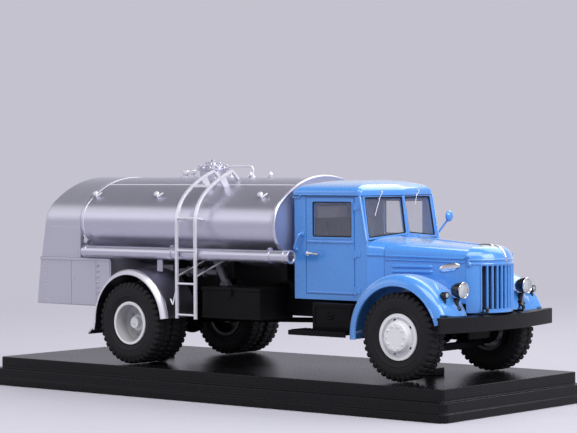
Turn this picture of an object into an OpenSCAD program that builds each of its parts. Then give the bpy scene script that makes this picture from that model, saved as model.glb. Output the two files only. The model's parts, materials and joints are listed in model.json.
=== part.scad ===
// Display model of a bonneted two-axle tanker lorry at 1:43, fixed on its plinth.
// Millimetres. x points forward, y to the left, z up; the origin is the middle of the plinth's underside.
// Pieces of the lorry are drawn with the front axle at x = 0 and the top of the plinth at z = 0.

/* [Plinth] */
// Length of the foot band
plinth_l = 189.4; // [188:0.2:198]
// Width of the foot band
plinth_w = 75.2; // [74:0.2:82]
// Height of the whole plinth
plinth_h = 9; // [8:0.2:12]
// Height of the foot band
foot_h = 2.3; // [1.5:0.1:3]
// Step in from the foot band to the waist
waist_in = 0.8; // [0.4:0.1:1.2]
// Height of the top block above the cover ledge
block_h = 3.6; // [2.6:0.1:4.4]
// Step in from the foot band to the top block
block_in = 3; // [2:0.1:3.4]
// Corner radius of the foot band
plinth_corner = 2.4; // [1.4:0.1:4]
// How far the lorry stands forward of the plinth's middle
truck_shift = 2.65; // [1:0.05:3]

/* [Wheels] */
// Distance between the axles
wheelbase = 105.1; // [102:0.1:107]
// Distance between the middles of the front tyres
front_track = 44.9; // [44.4:0.1:45.4]
// Distance between the middles of the twin rear wheels
rear_track = 45.5; // [45.2:0.1:46]
// Outer diameter of a tyre
tyre_d = 26.1; // [25.4:0.1:26.5]
// Width of a tyre
tyre_w = 6.9; // [6.4:0.1:7.1]
// Distance between the two tyres of a twin wheel
twin_pitch = 7.6; // [7.4:0.1:7.9]
// Diameter of the rim seat
rim_d = 12.8; // [12.4:0.1:13.4]
// Gap between the tyres and the plinth
tyre_gap = 0.15; // [0.1:0.05:0.4]
// Radius of the axle pins
pin_r = 1; // [0.8:0.05:1.2]
// Clearance between a pin and its wheel
pin_clear = 0.05; // [0.03:0.01:0.08]
// Number of lugs on each shoulder of a tyre
lugs = 40; // [24:1:40]
// Depth of the grooves between the lugs
lug_depth = 0.45; // [0.2:0.05:0.7]
// Radius of the flat raised centre of a front wheel
disc_r = 4.4; // [4:0.1:4.6]

/* [Chassis] */
// Half the outer width of the frame
rail_out = 10; // [9.4:0.1:10.2]
// Height of the frame's top
rail_top = 22.4; // [22:0.1:22.8]
// Height of a frame rail
rail_h = 5.8; // [5.2:0.1:6]
// Wall of a frame rail
rail_wall = 0.8; // [0.6:0.05:1]
// Front of the bumper
bumper_x = 20.6; // [20.6:0.1:22]
// Half the width of the bumper
bumper_half = 28.4; // [27:0.1:30]
// Height of the bumper's lower edge
bumper_z = 15; // [14.4:0.1:15.2]
// Height of the bumper's face
bumper_h = 4.6; // [4:0.1:4.7]

/* [Cab] */
// Width over the cab's sides
cab_w = 36; // [35.6:0.1:36.4]
// Rear of the cab
cab_back_x = -45.4; // [-46:0.1:-44.8]
// Height of the eave
eave_z = 54.1; // [53.4:0.1:55]
// Height of the roof above the eave
roof_h = 4.7; // [3.6:0.1:5.4]
// Thickness of the cab's walls
wall = 1; // [0.8:0.05:1.1]
// Height of the window sill
sill_z = 41.6; // [41:0.1:42.4]
// Lean of the windscreen
screen_rake = 9.1; // [8:0.1:10]
// Sweep of each windscreen half
screen_vee = 7.8; // [7:0.1:9]

/* [Bonnet and wings] */
// Half width of the bonnet at the scuttle
bonnet_rear = 16.2; // [15.8:0.1:16.6]
// Half width of the bonnet at the radiator shell
bonnet_front = 10.75; // [10.6:0.05:10.9]
// Radius of the rounded radiator shell
nose_r = 12; // [11.9:0.05:12.1]
// Height of the radiator shell's lower edge
nose_z = 19.95; // [19.9:0.05:20.6]
// Thickness of the pressed sheet
sheet = 0.8; // [0.6:0.05:0.9]
// Number of grille slots on each half
grille_slots = 5; // [3:1:6]
// Half width over the front wings
wing_half = 26.5; // [26.3:0.1:27.2]

/* [Tank] */
// Half width of the tank
tank_a = 24.3; // [23.8:0.1:24.6]
// Half height of the tank
tank_b = 14.5; // [14:0.1:14.8]
// Radius of the tank's rounded sides
tank_side_r = 9; // [8:0.1:10]
// Height of the tank's middle
tank_z = 45; // [44.7:0.1:45.6]
// Gap between the cab and the tank's end
tank_cab_gap = 0.7; // [0.5:0.1:1.5]
// Bulge of the tank's front end
dome_h = 1.7; // [1:0.1:2]

/* [Rear body] */
// Height of the shelf between the lockers and the shroud
shelf_z = 33; // [32.6:0.1:33.4]
// Height of the lockers' lower edge
locker_z = 17.7; // [17:0.1:18.6]
// Lean of the rear face
rear_lean = 10; // [6:0.5:11]
// Half width over the rear wings
rear_wing_half = 30.3; // [30.2:0.1:31]

/* [Fittings] */
// Radius of a hose tube
hose_r = 1.9; // [1.6:0.05:1.95]
// Distance of a hose tube from the middle
hose_y = 25.35; // [25.2:0.05:25.4]
// Height of a hose tube
hose_z = 35.6; // [35.5:0.1:36]
// Distance between the middles of the ladder's rails
ladder_w = 7.9; // [7.2:0.1:8.4]
// Distance of the ladder's rails from the tank's side
ladder_off = 3.6; // [3.6:0.05:3.9]
// Radius of the filler collar
hatch_r = 4.25; // [3.8:0.05:4.6]

/* [Hidden] */
$fn = 64;
fine = 0.05;
big = 400;
tyre_r = tyre_d / 2;
rim_r = rim_d / 2;
wheel_z = tyre_r + tyre_gap;
rear_x = -wheelbase;
rear_reach = 48.2;
rear_end_x = rear_x - rear_reach;
front_axle_x = (wheelbase + rear_reach - bumper_x) / 2 + truck_shift;
front_half = front_track / 2;
twin_half = rear_track / 2;
twin_out = twin_half + twin_pitch / 2;
twin_in = twin_half - twin_pitch / 2;
rail_z = rail_top - rail_h;
rail_front_x = bumper_x - 3.1;
rail_rear_x = rear_end_x + 3;
floor_z = rail_top + 0.2;
cab_half = cab_w / 2;
cab_in = cab_half - wall - fine;
screen_w = cab_in - 1.4;
screen_slope = 1.2;
roof_front_x = -17.1;
roof_corner_x = -19.6;
seat_half = cab_in - 2.45;
scuttle_x = -17.15;
firewall_x = -18.2;
box_top = rail_top + 3;
bonnet_x = -12;
shell_x = 13.9;
nose_x = 8.5;
crease_z = 36;
nose_top = 39.3;
bumper_r = 140;
wing_arch = tyre_r + 1.95;
wing_crown = tyre_r + 5.25;
wing_in = 11.2;
wing_x = -0.35;
tank_c = tank_a - tank_side_r;
tank_big_r = (pow(tank_c, 2) + pow(tank_b, 2) - pow(tank_side_r, 2)) / (2 * (tank_b - tank_side_r));
tank_k = tank_big_r - tank_b;
tank_turn = atan2(tank_k, tank_c);
tank_front_x = cab_back_x - tank_cab_gap - dome_h;
shroud_x = rear_x - 27.4;
locker_x = rear_x - 13.5;
rear_wing_r = tyre_r + 4.1;
ladder_x = rear_x + 23.45;
hatch_x = rear_x + 9.8;
tank_top = tank_z + tank_b;

// Places a piece of the lorry on the plinth.
module truck() {
    translate([front_axle_x, 0, plinth_h]) children();
}

// Repeats a right-hand piece on the left.
module both() {
    children();
    mirror([0, 1, 0]) children();
}

// Extrudes a front-view outline along x.
module along_x(x0, x1) {
    translate([x0, 0, 0]) rotate([90, 0, 90]) linear_extrude(x1 - x0) children();
}

// Extrudes a side-view outline across y, from y0 up to y1.
module across_y(y0, y1) {
    translate([0, y1, 0]) rotate([90, 0, 0]) linear_extrude(y1 - y0) children();
}

// Box between two corners.
module box(a, b) {
    translate(a) cube(b - a);
}

// Round rod between two points.
module rod(p, q, r) {
    d = q - p;
    l = norm(d);
    translate(p) rotate([0, acos(d[2] / l), atan2(d[1], d[0])]) cylinder(h = l, r = r, $fn = 32);
}

// Bent round rod through a list of points.
module bent_rod(points, r) {
    for (i = [0 : len(points) - 2]) rod(points[i], points[i + 1], r);
    for (i = [1 : len(points) - 2]) translate(points[i]) sphere(r + 0.03, $fn = 32);
}

// Rounded rectangle with a corner at the origin.
module rounded(l, w, r) {
    translate([r, 0]) square([l - 2 * r, w]);
    translate([0, r]) square([l, w - 2 * r]);
    for (x = [r, l - r]) for (y = [r, w - r]) translate([x, y]) circle(r);
}

// Arched outline: upright sides to the crease and a crown above, as points from right to left.
function arch(half, z0, crease, top, power = 2.6, steps = 24) = concat(
    [[half, z0]],
    [for (k = [0 : steps]) let (c = cos(180 * k / steps), s = sin(180 * k / steps))
        [sign(c) * half * pow(abs(c), 2 / power), crease + (top - crease) * pow(s, 2 / power)]],
    [[-half, z0]]);

// Closed skin through outlines that stand at given x.
module skin(xs, outlines) {
    n = len(outlines[0]);
    m = len(xs);
    polyhedron(
        [for (j = [0 : m - 1]) each [for (p = outlines[j]) [xs[j], p[0], p[1]]]],
        concat(
            [[for (i = [0 : n - 1]) i]],
            [[for (i = [n - 1 : -1 : 0]) (m - 1) * n + i]],
            [for (j = [0 : m - 2]) for (i = [0 : n - 1]) let (k = (i + 1) % n)
                each [[j * n + i, (j + 1) * n + i, (j + 1) * n + k], [j * n + i, (j + 1) * n + k, j * n + k]]]));
}

// Oval tank section from four arcs, grown by g.
module oval(g = 0) {
    reach = (tank_big_r + g) * tank_c / (tank_big_r - tank_side_r);
    for (s = [-1, 1]) translate([s * tank_c, 0]) circle(tank_side_r + g, $fn = 96);
    intersection() {
        translate([0, -tank_k]) circle(tank_big_r + g, $fn = 128);
        translate([0, tank_k]) circle(tank_big_r + g, $fn = 128);
        square([2 * reach, 4 * tank_b], center = true);
    }
}

// Prism of the tank section, used to seat pieces on the tank.
module tank_prism(x0, x1, g = fine) {
    translate([0, 0, tank_z]) along_x(x0, x1) oval(g);
}

// Ground plan of the bonnet and radiator shell, grown by g.
module bonnet_plan(g = 0) {
    polygon([[scuttle_x - g, -cab_half - g], [bonnet_x, -bonnet_rear - g], [shell_x, -bonnet_front - g],
        [shell_x, bonnet_front + g], [bonnet_x, bonnet_rear + g], [scuttle_x - g, cab_half + g]]);
    translate([nose_x, 0]) circle(nose_r + g);
}

// Bumper ring sector between two depths.
module bumper_ring(depth_front, depth_rear) {
    intersection() {
        translate([bumper_x - bumper_r, 0]) difference() {
            circle(bumper_r - depth_front, $fn = 256);
            circle(bumper_r - depth_rear, $fn = 256);
        }
        translate([0, -bumper_half]) square([50, 2 * bumper_half]);
    }
}

// Crown of a front wing across its width, as radius over distance from the middle.
function crown(y) = wing_crown - 2.2 * pow(max(0, (20 - y) / (20 - wing_in)), 1.6);
function wing_curve(g) = concat(
    [for (y = [wing_in : 1.1 : 20]) [crown(y) + g, y]],
    [for (t = [0 : 15 : 90]) [wing_crown - 3 + (3 + g) * cos(t), wing_half - 3 + (3 + g) * sin(t)]]);

// Solid under a front wing's outer skin, used to seat lamps.
module wing_solid(g) {
    curve = wing_curve(g);
    translate([wing_x, 0, wheel_z]) rotate([90, 0, 0]) rotate([0, 0, -10]) rotate_extrude(angle = 200, $fn = 128)
        polygon(concat(curve, [[wing_arch, wing_half + g], [wing_arch, wing_in]]));
}

// Front wing of the right-hand side.
module wing() {
    outer = wing_curve(0);
    inner = wing_curve(-sheet);
    back = [for (i = [len(inner) - 1 : -1 : 0]) inner[i]];
    difference() {
        translate([wing_x, 0, wheel_z]) rotate([90, 0, 0]) rotate([0, 0, 15]) rotate_extrude(angle = 170, $fn = 128)
            polygon(concat(outer, [[wing_arch, wing_half], [wing_arch, wing_half - sheet]], back));
        translate([0, 0, -1]) linear_extrude(60) bonnet_plan(fine);
        translate([0, 0, bumper_z - 6]) linear_extrude(bumper_h + 6.1) bumper_ring(-4, 2.7);
    }
}

// Lugged tyre as one skin of rings round the axle; the lugs of the two shoulders stand by turns.
module tyre() {
    steps = 2 * lugs;
    shoulder = tyre_w / 2 - 0.5;
    bulge = tyre_w / 2;
    bead = 2.2;
    mid_r = rim_r + 0.55 * (tyre_r - rim_r);
    rings = [for (i = [0 : steps - 1]) let (up = tyre_r - (i % 2) * lug_depth, down = tyre_r - lug_depth + (i % 2) * lug_depth)
        [[rim_r, -bead], [mid_r, -bulge], [up, -shoulder], [down, shoulder], [mid_r, bulge], [rim_r, bead]]];
    n = len(rings[0]);
    polyhedron(
        [for (i = [0 : steps - 1]) let (a = 360 * i / steps) for (q = rings[i]) [q[0] * cos(a), q[0] * sin(a), q[1]]],
        [for (i = [0 : steps - 1]) for (k = [0 : n - 1]) let (i2 = (i + 1) % steps, k2 = (k + 1) % n)
            each [[i * n + k, i * n + k2, i2 * n + k2], [i * n + k, i2 * n + k2, i2 * n + k]]]);
}

// Rim barrel with a lip at each side.
module barrel() {
    seat = rim_r - 0.02;
    rotate_extrude($fn = 96) {
        translate([seat - 0.5, -2.95]) square([0.5, 5.9]);
        for (y = [-2.95, 2.5]) translate([seat - 0.5, y]) square([0.95, 0.45]);
    }
}

// Steered wheel with a raised centre; the outer side is up.
module front_rim() {
    seat = rim_r - 0.2;
    vents = 5;
    face = 4.2;
    barrel();
    difference() {
        union() {
            rotate_extrude($fn = 96) polygon([[0, face], [disc_r - 0.35, face], [disc_r, face - 0.3], [disc_r + 0.3, 1.9],
                [disc_r + 0.55, 1.3], [disc_r + 0.9, 1.1], [seat, 1.1], [seat, 0.5], [disc_r + 0.7, 0.5],
                [disc_r - 0.1, 1.2], [disc_r - 0.5, face - 0.8], [0, face - 0.8]]);
            translate([0, 0, -2.2]) cylinder(h = face + 1.5, r = 2.3);
        }
        translate([0, 0, -3]) cylinder(h = 4.7, r = pin_r + pin_clear);
        for (i = [0 : vents - 1]) rotate([0, 0, 36 + i * 360 / vents]) translate([disc_r + 0.95, 0, -1]) cylinder(h = 4, r = 0.5);
    }
}

// Twin wheel with deep dished rims; the outer side is up and the middle of the pair is at zero.
module twin_rim() {
    seat = rim_r - 0.2;
    half = twin_pitch / 2;
    for (s = [-1, 1]) translate([0, 0, s * half]) barrel();
    difference() {
        union() {
            translate([0, 0, half - 2.6]) rotate_extrude($fn = 96)
                polygon([[0, 0], [5.6, 0], [seat, 0.9], [seat, 1.6], [5.3, 0.6], [0, 0.6]]);
            translate([0, 0, -half + 1.6]) cylinder(h = 0.6, r = seat);
            translate([0, 0, -half - 1.6]) cylinder(h = 2 * half + 0.6, r = 2.6);
            translate([0, 0, half - 1.5]) cylinder(h = 2.2, r = 1.7);
        }
        translate([0, 0, -half - 3]) cylinder(h = 2 * half + 2.9, r = pin_r + pin_clear);
    }
}

// Puts a wheel upright at the right or left; side is -1 for right.
module wheel_at(x, half, side) {
    truck() translate([x, side * half, wheel_z]) rotate([side < 0 ? 90 : -90, 0, 0]) children();
}

// Arched leaf pack with hangers; the pack's lowest point is at the origin.
module leaf_pack(reach, rise, w) {
    r = (reach * reach + rise * rise) / (2 * rise);
    translate([0, w / 2, 0]) rotate([90, 0, 0]) linear_extrude(w) intersection() {
        translate([0, r]) difference() {
            circle(r, $fn = 128);
            circle(r - 1.3, $fn = 128);
        }
        translate([-reach, -1]) square([2 * reach, rise + 1]);
    }
}

module plinth() color("#141416") {
    mid_h = plinth_h - foot_h - block_h;
    translate([-plinth_l / 2, -plinth_w / 2, 0]) linear_extrude(foot_h) rounded(plinth_l, plinth_w, plinth_corner);
    translate([-plinth_l / 2 + waist_in, -plinth_w / 2 + waist_in, 0]) linear_extrude(foot_h + mid_h)
        rounded(plinth_l - 2 * waist_in, plinth_w - 2 * waist_in, plinth_corner);
    translate([-plinth_l / 2 + block_in, -plinth_w / 2 + block_in, 0]) linear_extrude(plinth_h)
        rounded(plinth_l - 2 * block_in, plinth_w - 2 * block_in, plinth_corner - 0.8);
}

// Moulded pads and posts that hold the lorry on the plinth.
module plinth_posts() color("#19191b") truck() {
    posts = [[-7.25, 11.45], [rear_x - 13.9, rail_z + rail_wall - fine]];
    for (p = posts) translate([p[0], 0, 0]) {
        box([-3.5, -2.5, fine / 5], [3.5, 2.5, 2.2]);
        translate([0, 0, 1]) cylinder(h = p[1] - 1, r = 1.6);
    }
}

module frame_rails() color("#1c1d20") truck() both() difference() {
    box([rail_rear_x, -rail_out, rail_z], [rail_front_x, 2.2 - rail_out, rail_top]);
    box([rail_rear_x - 1, rail_wall - rail_out, rail_z + rail_wall], [rail_front_x + 1, 3 - rail_out, rail_top - rail_wall]);
    box([11.6, -rail_out - 1, nose_z - 0.4], [30, 3 - rail_out, rail_top + 1]);
}

module cross_members() color("#1c1d20") truck() {
    half = rail_out - rail_wall - fine;
    for (x = [-30, rear_x + 43, rear_x + 15, rear_x - 13.9, rear_x - 41])
        box([x - 1.2, -half, rail_z + rail_wall + 0.02], [x + 1.2, half, rail_top - rail_wall - 0.02]);
    box([12.2, -half, rail_z + rail_wall + 0.02], [14.4, half, nose_z - 0.5]);
}

module front_axle() color("#222327") truck() {
    drum = front_half - 3.2;
    box([-1.2, -11.6, wheel_z - 5.4], [1.2, 11.6, wheel_z - 3.3]);
    both() {
        box([-1.2, -15.8, wheel_z - 4.9], [1.2, -11.2, wheel_z - 1.6]);
        translate([0, -15.4, wheel_z - 3.6]) cylinder(h = 7, r = 1.3);
        translate([0, -15, wheel_z]) rotate([90, 0, 0]) cylinder(h = front_half + 1.4 - 15, r = pin_r);
        translate([0, -16, wheel_z]) rotate([90, 0, 0]) cylinder(h = drum - 16, r = 4.6);
    }
}

module rear_axle() color("#222327") truck() translate([rear_x, 0, wheel_z]) {
    sphere(4.8);
    rotate([0, 90, 0]) cylinder(h = 5.6, r = 2);
    both() {
        rotate([90, 0, 0]) cylinder(h = twin_in - 3.3, r = 2);
        rotate([90, 0, 0]) cylinder(h = twin_out - 0.3, r = pin_r);
    }
}

module leaf_springs() color("#222327") truck() both() {
    seat = wheel_z - 3.28;
    translate([0, -8.9, seat]) leaf_pack(12.6, rail_z - 0.2 - seat, 1.8);
    for (s = [-1, 1]) box([s * 11.6 - 0.9, -9.8, rail_z - 1.9], [s * 11.6 + 0.9, -8, rail_z - fine]);
    translate([rear_x, -12, wheel_z + 2.02]) leaf_pack(14.5, 3.4, 1.8);
    for (s = [-1, 1]) box([rear_x + s * 13.5 - 0.9, -12.9, wheel_z + 3.6], [rear_x + s * 13.5 + 0.9, -rail_out - fine, wheel_z + 6]);
}

// Engine sump, gearbox and propeller shaft below the floor.
module driveline() color("#26272b") truck() {
    box([-10.8, -5.4, 11.5], [11, 5.4, 23.6]);
    box([-22, -3.4, 13], [-10.8, 3.4, 20.4]);
    rod([-21.5, 0, wheel_z + 2.4], [rear_x + 5.7, 0, wheel_z], 0.8);
}

// Pressed channel with rounded edges, bowed forward in the middle.
module bumper() color("#1a1b1e") truck() {
    sheet_t = 0.8;
    edge = 0.7;
    depth = 2.6;
    sweep = asin(bumper_half / bumper_r) + 1;
    intersection() {
        translate([bumper_x - bumper_r, 0, bumper_z]) rotate([0, 0, -sweep]) rotate_extrude(angle = 2 * sweep, $fn = 256)
            translate([bumper_r, 0]) polygon([[-depth, 0], [-edge, 0], [0, edge], [0, bumper_h - edge], [-edge, bumper_h],
                [-depth, bumper_h], [-depth, bumper_h - sheet_t], [-edge - 0.3, bumper_h - sheet_t],
                [-sheet_t, bumper_h - edge - 0.3], [-sheet_t, edge + 0.3], [-edge - 0.3, sheet_t], [-depth, sheet_t]]);
        box([0, -bumper_half, 0], [60, bumper_half, 40]);
    }
}

module tow_hooks() color("#17181a") truck() both() translate([bumper_x - 2.4, -9.2, bumper_z + bumper_h + 0.02]) {
    box([-1.4, -0.5, 0], [1.6, 0.5, 0.5]);
    translate([1.3, 0.5, 0]) rotate([90, 0, 0]) difference() {
        translate([0, 1.2]) cylinder(h = 1, r = 1.2);
        translate([0, 1.2, -1]) cylinder(h = 3, r = 0.55);
        translate([-3, 0.9, -1]) cube([2.4, 3, 3]);
    }
}

module side_boxes() color("#1b1c1f") truck() both() {
    box([rear_x + 26.6, -24, 15.8], [rear_x + 50.6, -rail_out - fine, box_top]);
    box([-35.6, -21.5, 13.65], [-20, -rail_out - fine, rail_top - 0.6]);
}

module cab_steps() color("#1b1c1f") truck() both() {
    box([-42, -25.4, 12.75], [-19.7, -17.2, 13.6]);
    box([-42, -25.4, 12.1], [-19.7, -24.9, 13.6]);
}

// Cab floor with bench seat and dashboard in one moulding.
module cab_floor() color("#2a2a2e") truck() {
    back = cab_back_x + wall + fine;
    box([back, -cab_in, floor_z], [firewall_x - fine, cab_in, floor_z + 1.2]);
    box([back + 1.2, -seat_half, floor_z + 1], [back + 11, seat_half, floor_z + 8]);
    box([back + 0.3, -seat_half, floor_z + 1], [back + 2.6, seat_half, floor_z + 18]);
    box([-21.2, -cab_in, floor_z + 1], [firewall_x - fine, cab_in, floor_z + 2.4]);
    box([-21.2, -cab_in, floor_z + 2.2], [firewall_x - fine, -cab_in + 2, floor_z + 15]);
    box([-21.2, cab_in - 2, floor_z + 2.2], [firewall_x - fine, cab_in, floor_z + 15]);
    box([-22, -cab_in, floor_z + 11.4], [firewall_x - fine, cab_in, floor_z + 15.4]);
}

module steering_wheel() color("#202022") truck() {
    tilt = 38;
    at_x = -26.4;
    column = (firewall_x - fine - 0.4 * cos(tilt) - at_x) / sin(tilt);
    translate([at_x, 7.6, floor_z + 15.4]) rotate([0, -tilt, 0]) {
        rotate_extrude($fn = 64) translate([3.3, 0]) circle(0.35, $fn = 24);
        for (a = [0, 120, 240]) rotate([0, 0, a]) translate([0, -0.25, -0.2]) cube([3.3, 0.5, 0.4]);
        translate([0, 0, -0.3]) cylinder(h = 0.9, r = 0.8);
        translate([0, 0, -column]) cylinder(h = column, r = 0.4);
    }
}

// Side wall with window and the groove round the door.
module cab_side() {
    door_x = [-40.9, -21.7];
    door_z = [floor_z + 1.6, eave_z - 0.3];
    window_x = [-38.1, -22.9];
    groove = 0.35;
    difference() {
        across_y(-cab_half, wall - cab_half) polygon([[cab_back_x, floor_z], [cab_back_x, eave_z], [-19.8, eave_z],
            [-17.2, sill_z - 1.3], [-17.2, floor_z]]);
        across_y(-cab_half - 1, wall - cab_half + 1) translate([window_x[0], sill_z])
            rounded(window_x[1] - window_x[0], eave_z - 1.8 - sill_z, 0.5);
        across_y(-cab_half - 1, groove - cab_half) difference() {
            translate([door_x[0], door_z[0]]) square([door_x[1] - door_x[0], door_z[1] - door_z[0]]);
            translate([door_x[0] + groove, door_z[0] + groove])
                square([door_x[1] - door_x[0] - 2 * groove, door_z[1] - door_z[0] - 2 * groove]);
        }
    }
}

module cab_side_right() color("#4c86cb") truck() cab_side();
module cab_side_left() color("#4c86cb") truck() mirror([0, 1, 0]) cab_side();

module cab_back() color("#4c86cb") truck() difference() {
    box([cab_back_x, -cab_in, floor_z], [cab_back_x + wall, cab_in, eave_z]);
    along_x(cab_back_x - 1, cab_back_x + wall + 1) translate([-8, sill_z + 1]) rounded(16, 8.4, 1.4);
}

// Lays a windscreen-half outline in place: u runs outward, v up the glass.
module screen_half(depth0, depth1) {
    translate([-15.5 - wall, 0, sill_z]) rotate([0, 0, screen_vee]) rotate([0, -screen_rake, 0])
        along_x(depth0, depth1) children();
}

// Outline of a windscreen half, shrunk by g; its foot falls outward.
module screen_outline(g) {
    u0 = 0.8 + g;
    u1 = 0.8 + screen_w - g;
    v0 = 1 + g;
    v1 = v0 - screen_slope;
    top = 11.9 - g;
    cut = 0.45;
    polygon([[u0 + cut, v0 - 0.04], [u1 - cut, v1 + 0.04], [u1, v1 + cut], [u1, top - cut], [u1 - cut, top], [u0 + cut, top],
        [u0, top - cut], [u0, v0 + cut]]);
}

// Scuttle, firewall and windscreen frame.
module cab_front() color("#5c96d8") truck() {
    box([firewall_x, -cab_in, floor_z], [scuttle_x + 0.6, cab_in, sill_z - 2.4]);
    difference() {
        skin([scuttle_x, bonnet_x - fine], [arch(cab_half, floor_z, crease_z + 1.7, sill_z + 0.4),
            arch(bonnet_rear, floor_z, crease_z + 1.3, sill_z - 0.3)]);
        skin([scuttle_x - 1, bonnet_x + 1], [arch(cab_half - sheet - 0.3, floor_z - 1, crease_z + 1.5, sill_z - 0.6),
            arch(bonnet_rear - sheet - 0.3, floor_z - 1, crease_z + 1.1, sill_z - 1.2)]);
    }
    intersection() {
        both() screen_half(0, wall) difference() {
            translate([-0.1, -2.6]) square([19, 20]);
            screen_outline(0);
        }
        box([-40, -cab_in, 20], [0, cab_in, eave_z]);
    }
}

// Right half of the roof's plan from the rear to the front, shrunk by g; the front follows the windscreen's sweep.
function roof_half_plan(g) = let (h = cab_half + 0.35 - g, back = cab_back_x - 0.6 + g, corner = roof_corner_x - g,
    front = roof_front_x - g, r = 1.3) concat(
    [for (t = [0 : 22.5 : 90]) [back + r - r * cos(t), -h + r - r * sin(t)]],
    [for (t = [0 : 0.25 : 1]) [corner - 1.8 * (1 - t) * (1 - t) + 0.25 * t * t, -h + 1.8 * t * t]],
    [[front - 0.08, -1.4]]);
function roof_plan(g) = let (half = roof_half_plan(g), n = len(half)) concat(half,
    [for (i = [n - 1 : -1 : 0]) [half[i][0], -half[i][1]]]);

// Dome over the roof's plan, shrunk by g, from z0 up.
module roof_dome(g, z0) {
    rim = 1.2 - 0.6 * g;
    rise = roof_h - 1.2;
    power = 2.5;
    plan = roof_plan(g);
    mid = (cab_back_x + roof_front_x) / 2;
    levels = concat([[1, z0], [1, eave_z + rim]],
        [for (t = [15, 30, 45, 58, 70, 80]) [pow(cos(t), 2 / power), eave_z + rim + rise * pow(sin(t), 2 / power)]]);
    n = len(plan);
    m = len(levels);
    polyhedron(
        [for (l = levels) each [for (p = plan) [mid + l[0] * (p[0] - mid), l[0] * p[1], l[1]]]],
        concat([[for (i = [0 : n - 1]) i]], [[for (i = [n - 1 : -1 : 0]) (m - 1) * n + i]],
            [for (j = [0 : m - 2]) for (i = [0 : n - 1]) let (k = (i + 1) % n)
                each [[j * n + i, (j + 1) * n + i, (j + 1) * n + k], [j * n + i, (j + 1) * n + k, j * n + k]]]));
}

module cab_roof() color("#7db4ea") truck() difference() {
    roof_dome(0, eave_z + fine);
    roof_dome(1, eave_z - 1);
}

module cab_glass() color("#c9d8e2") truck() {
    lap = 0.02;
    both() screen_half(0.35, 0.75) screen_outline(lap);
    both() across_y(0.3 - cab_half, 0.7 - cab_half) translate([-38.1 + lap, sill_z + lap])
        rounded(15.2 - 2 * lap, eave_z - 1.8 - sill_z - 2 * lap, 0.5 - lap);
    along_x(cab_back_x + 0.3, cab_back_x + 0.7) translate([-8 + lap, sill_z + 1 + lap])
        rounded(16 - 2 * lap, 8.4 - 2 * lap, 1.4 - lap);
}

module bonnet() color("#5c96d8") truck() difference() {
    skin([bonnet_x, shell_x - fine], [arch(bonnet_rear, floor_z, crease_z + 1.3, sill_z - 0.3),
        arch(bonnet_front, floor_z, crease_z, nose_top)]);
    skin([bonnet_x - 1, shell_x + 1], [arch(bonnet_rear - sheet + 0.2, floor_z - 1, crease_z + 1.1, sill_z - 1.1),
        arch(bonnet_front - sheet - 0.2, floor_z - 1, crease_z - 0.2, nose_top - 0.8)]);
}

// Turned form of the radiator shell, shrunk by g.
module nose_turn(g) {
    translate([nose_x, 0, 0]) rotate_extrude($fn = 128) {
        translate([0, nose_z - g * 4]) square([nose_r - g, crease_z - nose_z + g * 4]);
        intersection() {
            translate([nose_r - 4.2, nose_top - 4.2]) circle(4.2 - g);
            translate([0, crease_z - 2]) square([nose_r - g, 9]);
        }
        translate([0, crease_z - 1]) square([nose_r - 4.2, nose_top - crease_z + 1 - g]);
    }
}

module radiator_shell() color("#5c96d8") truck() difference() {
    nose_turn(0);
    nose_turn(sheet);
    box([-20, -20, 0], [shell_x, 20, 60]);
    translate([nose_x, 0, 0]) for (i = [0 : grille_slots - 1]) for (s = [-1, 1])
        rotate([0, 0, s * (i + 0.5) * 41 / grille_slots]) across_y(-0.5, 0.5)
            translate([8, nose_z + 1.1]) square([8, 33.7 - nose_z - 1.1]);
}

module radiator_core() color("#101114") truck() box([12.4, -8.6, nose_z + 0.4], [14.6, 8.6, crease_z - 1.2]);

// Bright strip over the nose and a plain strip on each bonnet side.
module bonnet_trim() color("#d9dbdf") truck() {
    lean = atan2(bonnet_rear - bonnet_front, shell_x - bonnet_x);
    difference() {
        intersection() {
            nose_turn(-0.4);
            box([shell_x + 0.2, -0.4, crease_z - 1.2], [30, 0.4, 60]);
        }
        nose_turn(-0.02);
    }
    both() translate([8, -bonnet_front - (shell_x - 8) * tan(lean) - 0.02, 33.4]) rotate([0, 0, lean])
        box([-3, -0.45, -0.9], [3, 0, 0.9]);
}

module front_wing_right() color("#5c96d8") truck() wing();
module front_wing_left() color("#5c96d8") truck() mirror([0, 1, 0]) wing();

// Headlamp bowls on their stalks and the small marker lamps.
module lamps() color("#131416") truck() both() difference() {
    union() {
        translate([16.1, -15.7, 26.9]) rotate([0, -90, 0]) rotate_extrude() difference() {
            intersection() {
                translate([0, 0.2]) circle(3.4);
                translate([0, 0]) square([2.4, 4]);
            }
            translate([0, -0.1]) square([2, 0.9]);
        }
        translate([14.1, -15.7, 21]) cylinder(h = 4.6, r = 0.6);
        translate([13.4, -21.4, 22]) cylinder(h = 4.3, r = 0.45);
        translate([14.4, -21.4, 26.4]) rotate([0, -90, 0]) cylinder(h = 1.9, r = 0.85);
    }
    wing_solid(0.03);
}

module lamp_lenses() color("#dfe6ea") truck() both() translate([15.4, -15.7, 26.9]) rotate([0, 90, 0])
    intersection() {
        translate([0, 0, -4.3]) sphere(5.3);
        cylinder(h = 3, r = 1.97);
    }

// Round mirror on the driver's side.
module mirror_arm() color("#5c96d8") truck() {
    rod([-18.6, cab_half + 0.4, 41.2], [-14.8, 20.5, 46.8], 0.35);
    translate([-18.6, cab_half + fine, 41.2]) rotate([-90, 0, 0]) cylinder(h = 0.7, r = 0.8);
    translate([-15.2, 20.5, 47.3]) rotate([0, 90, 0]) cylinder(h = 0.9, r = 1.75);
}

module grab_handles() color("#4c86cb") truck() both() {
    y = -cab_half - 1.5;
    bent_rod([[-42.3, -cab_half - fine, 42.4], [-42.3, y, 42.4], [-44.5, y, 37.6], [-44.5, -cab_half - fine, 37.6]], 0.42);
}

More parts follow.
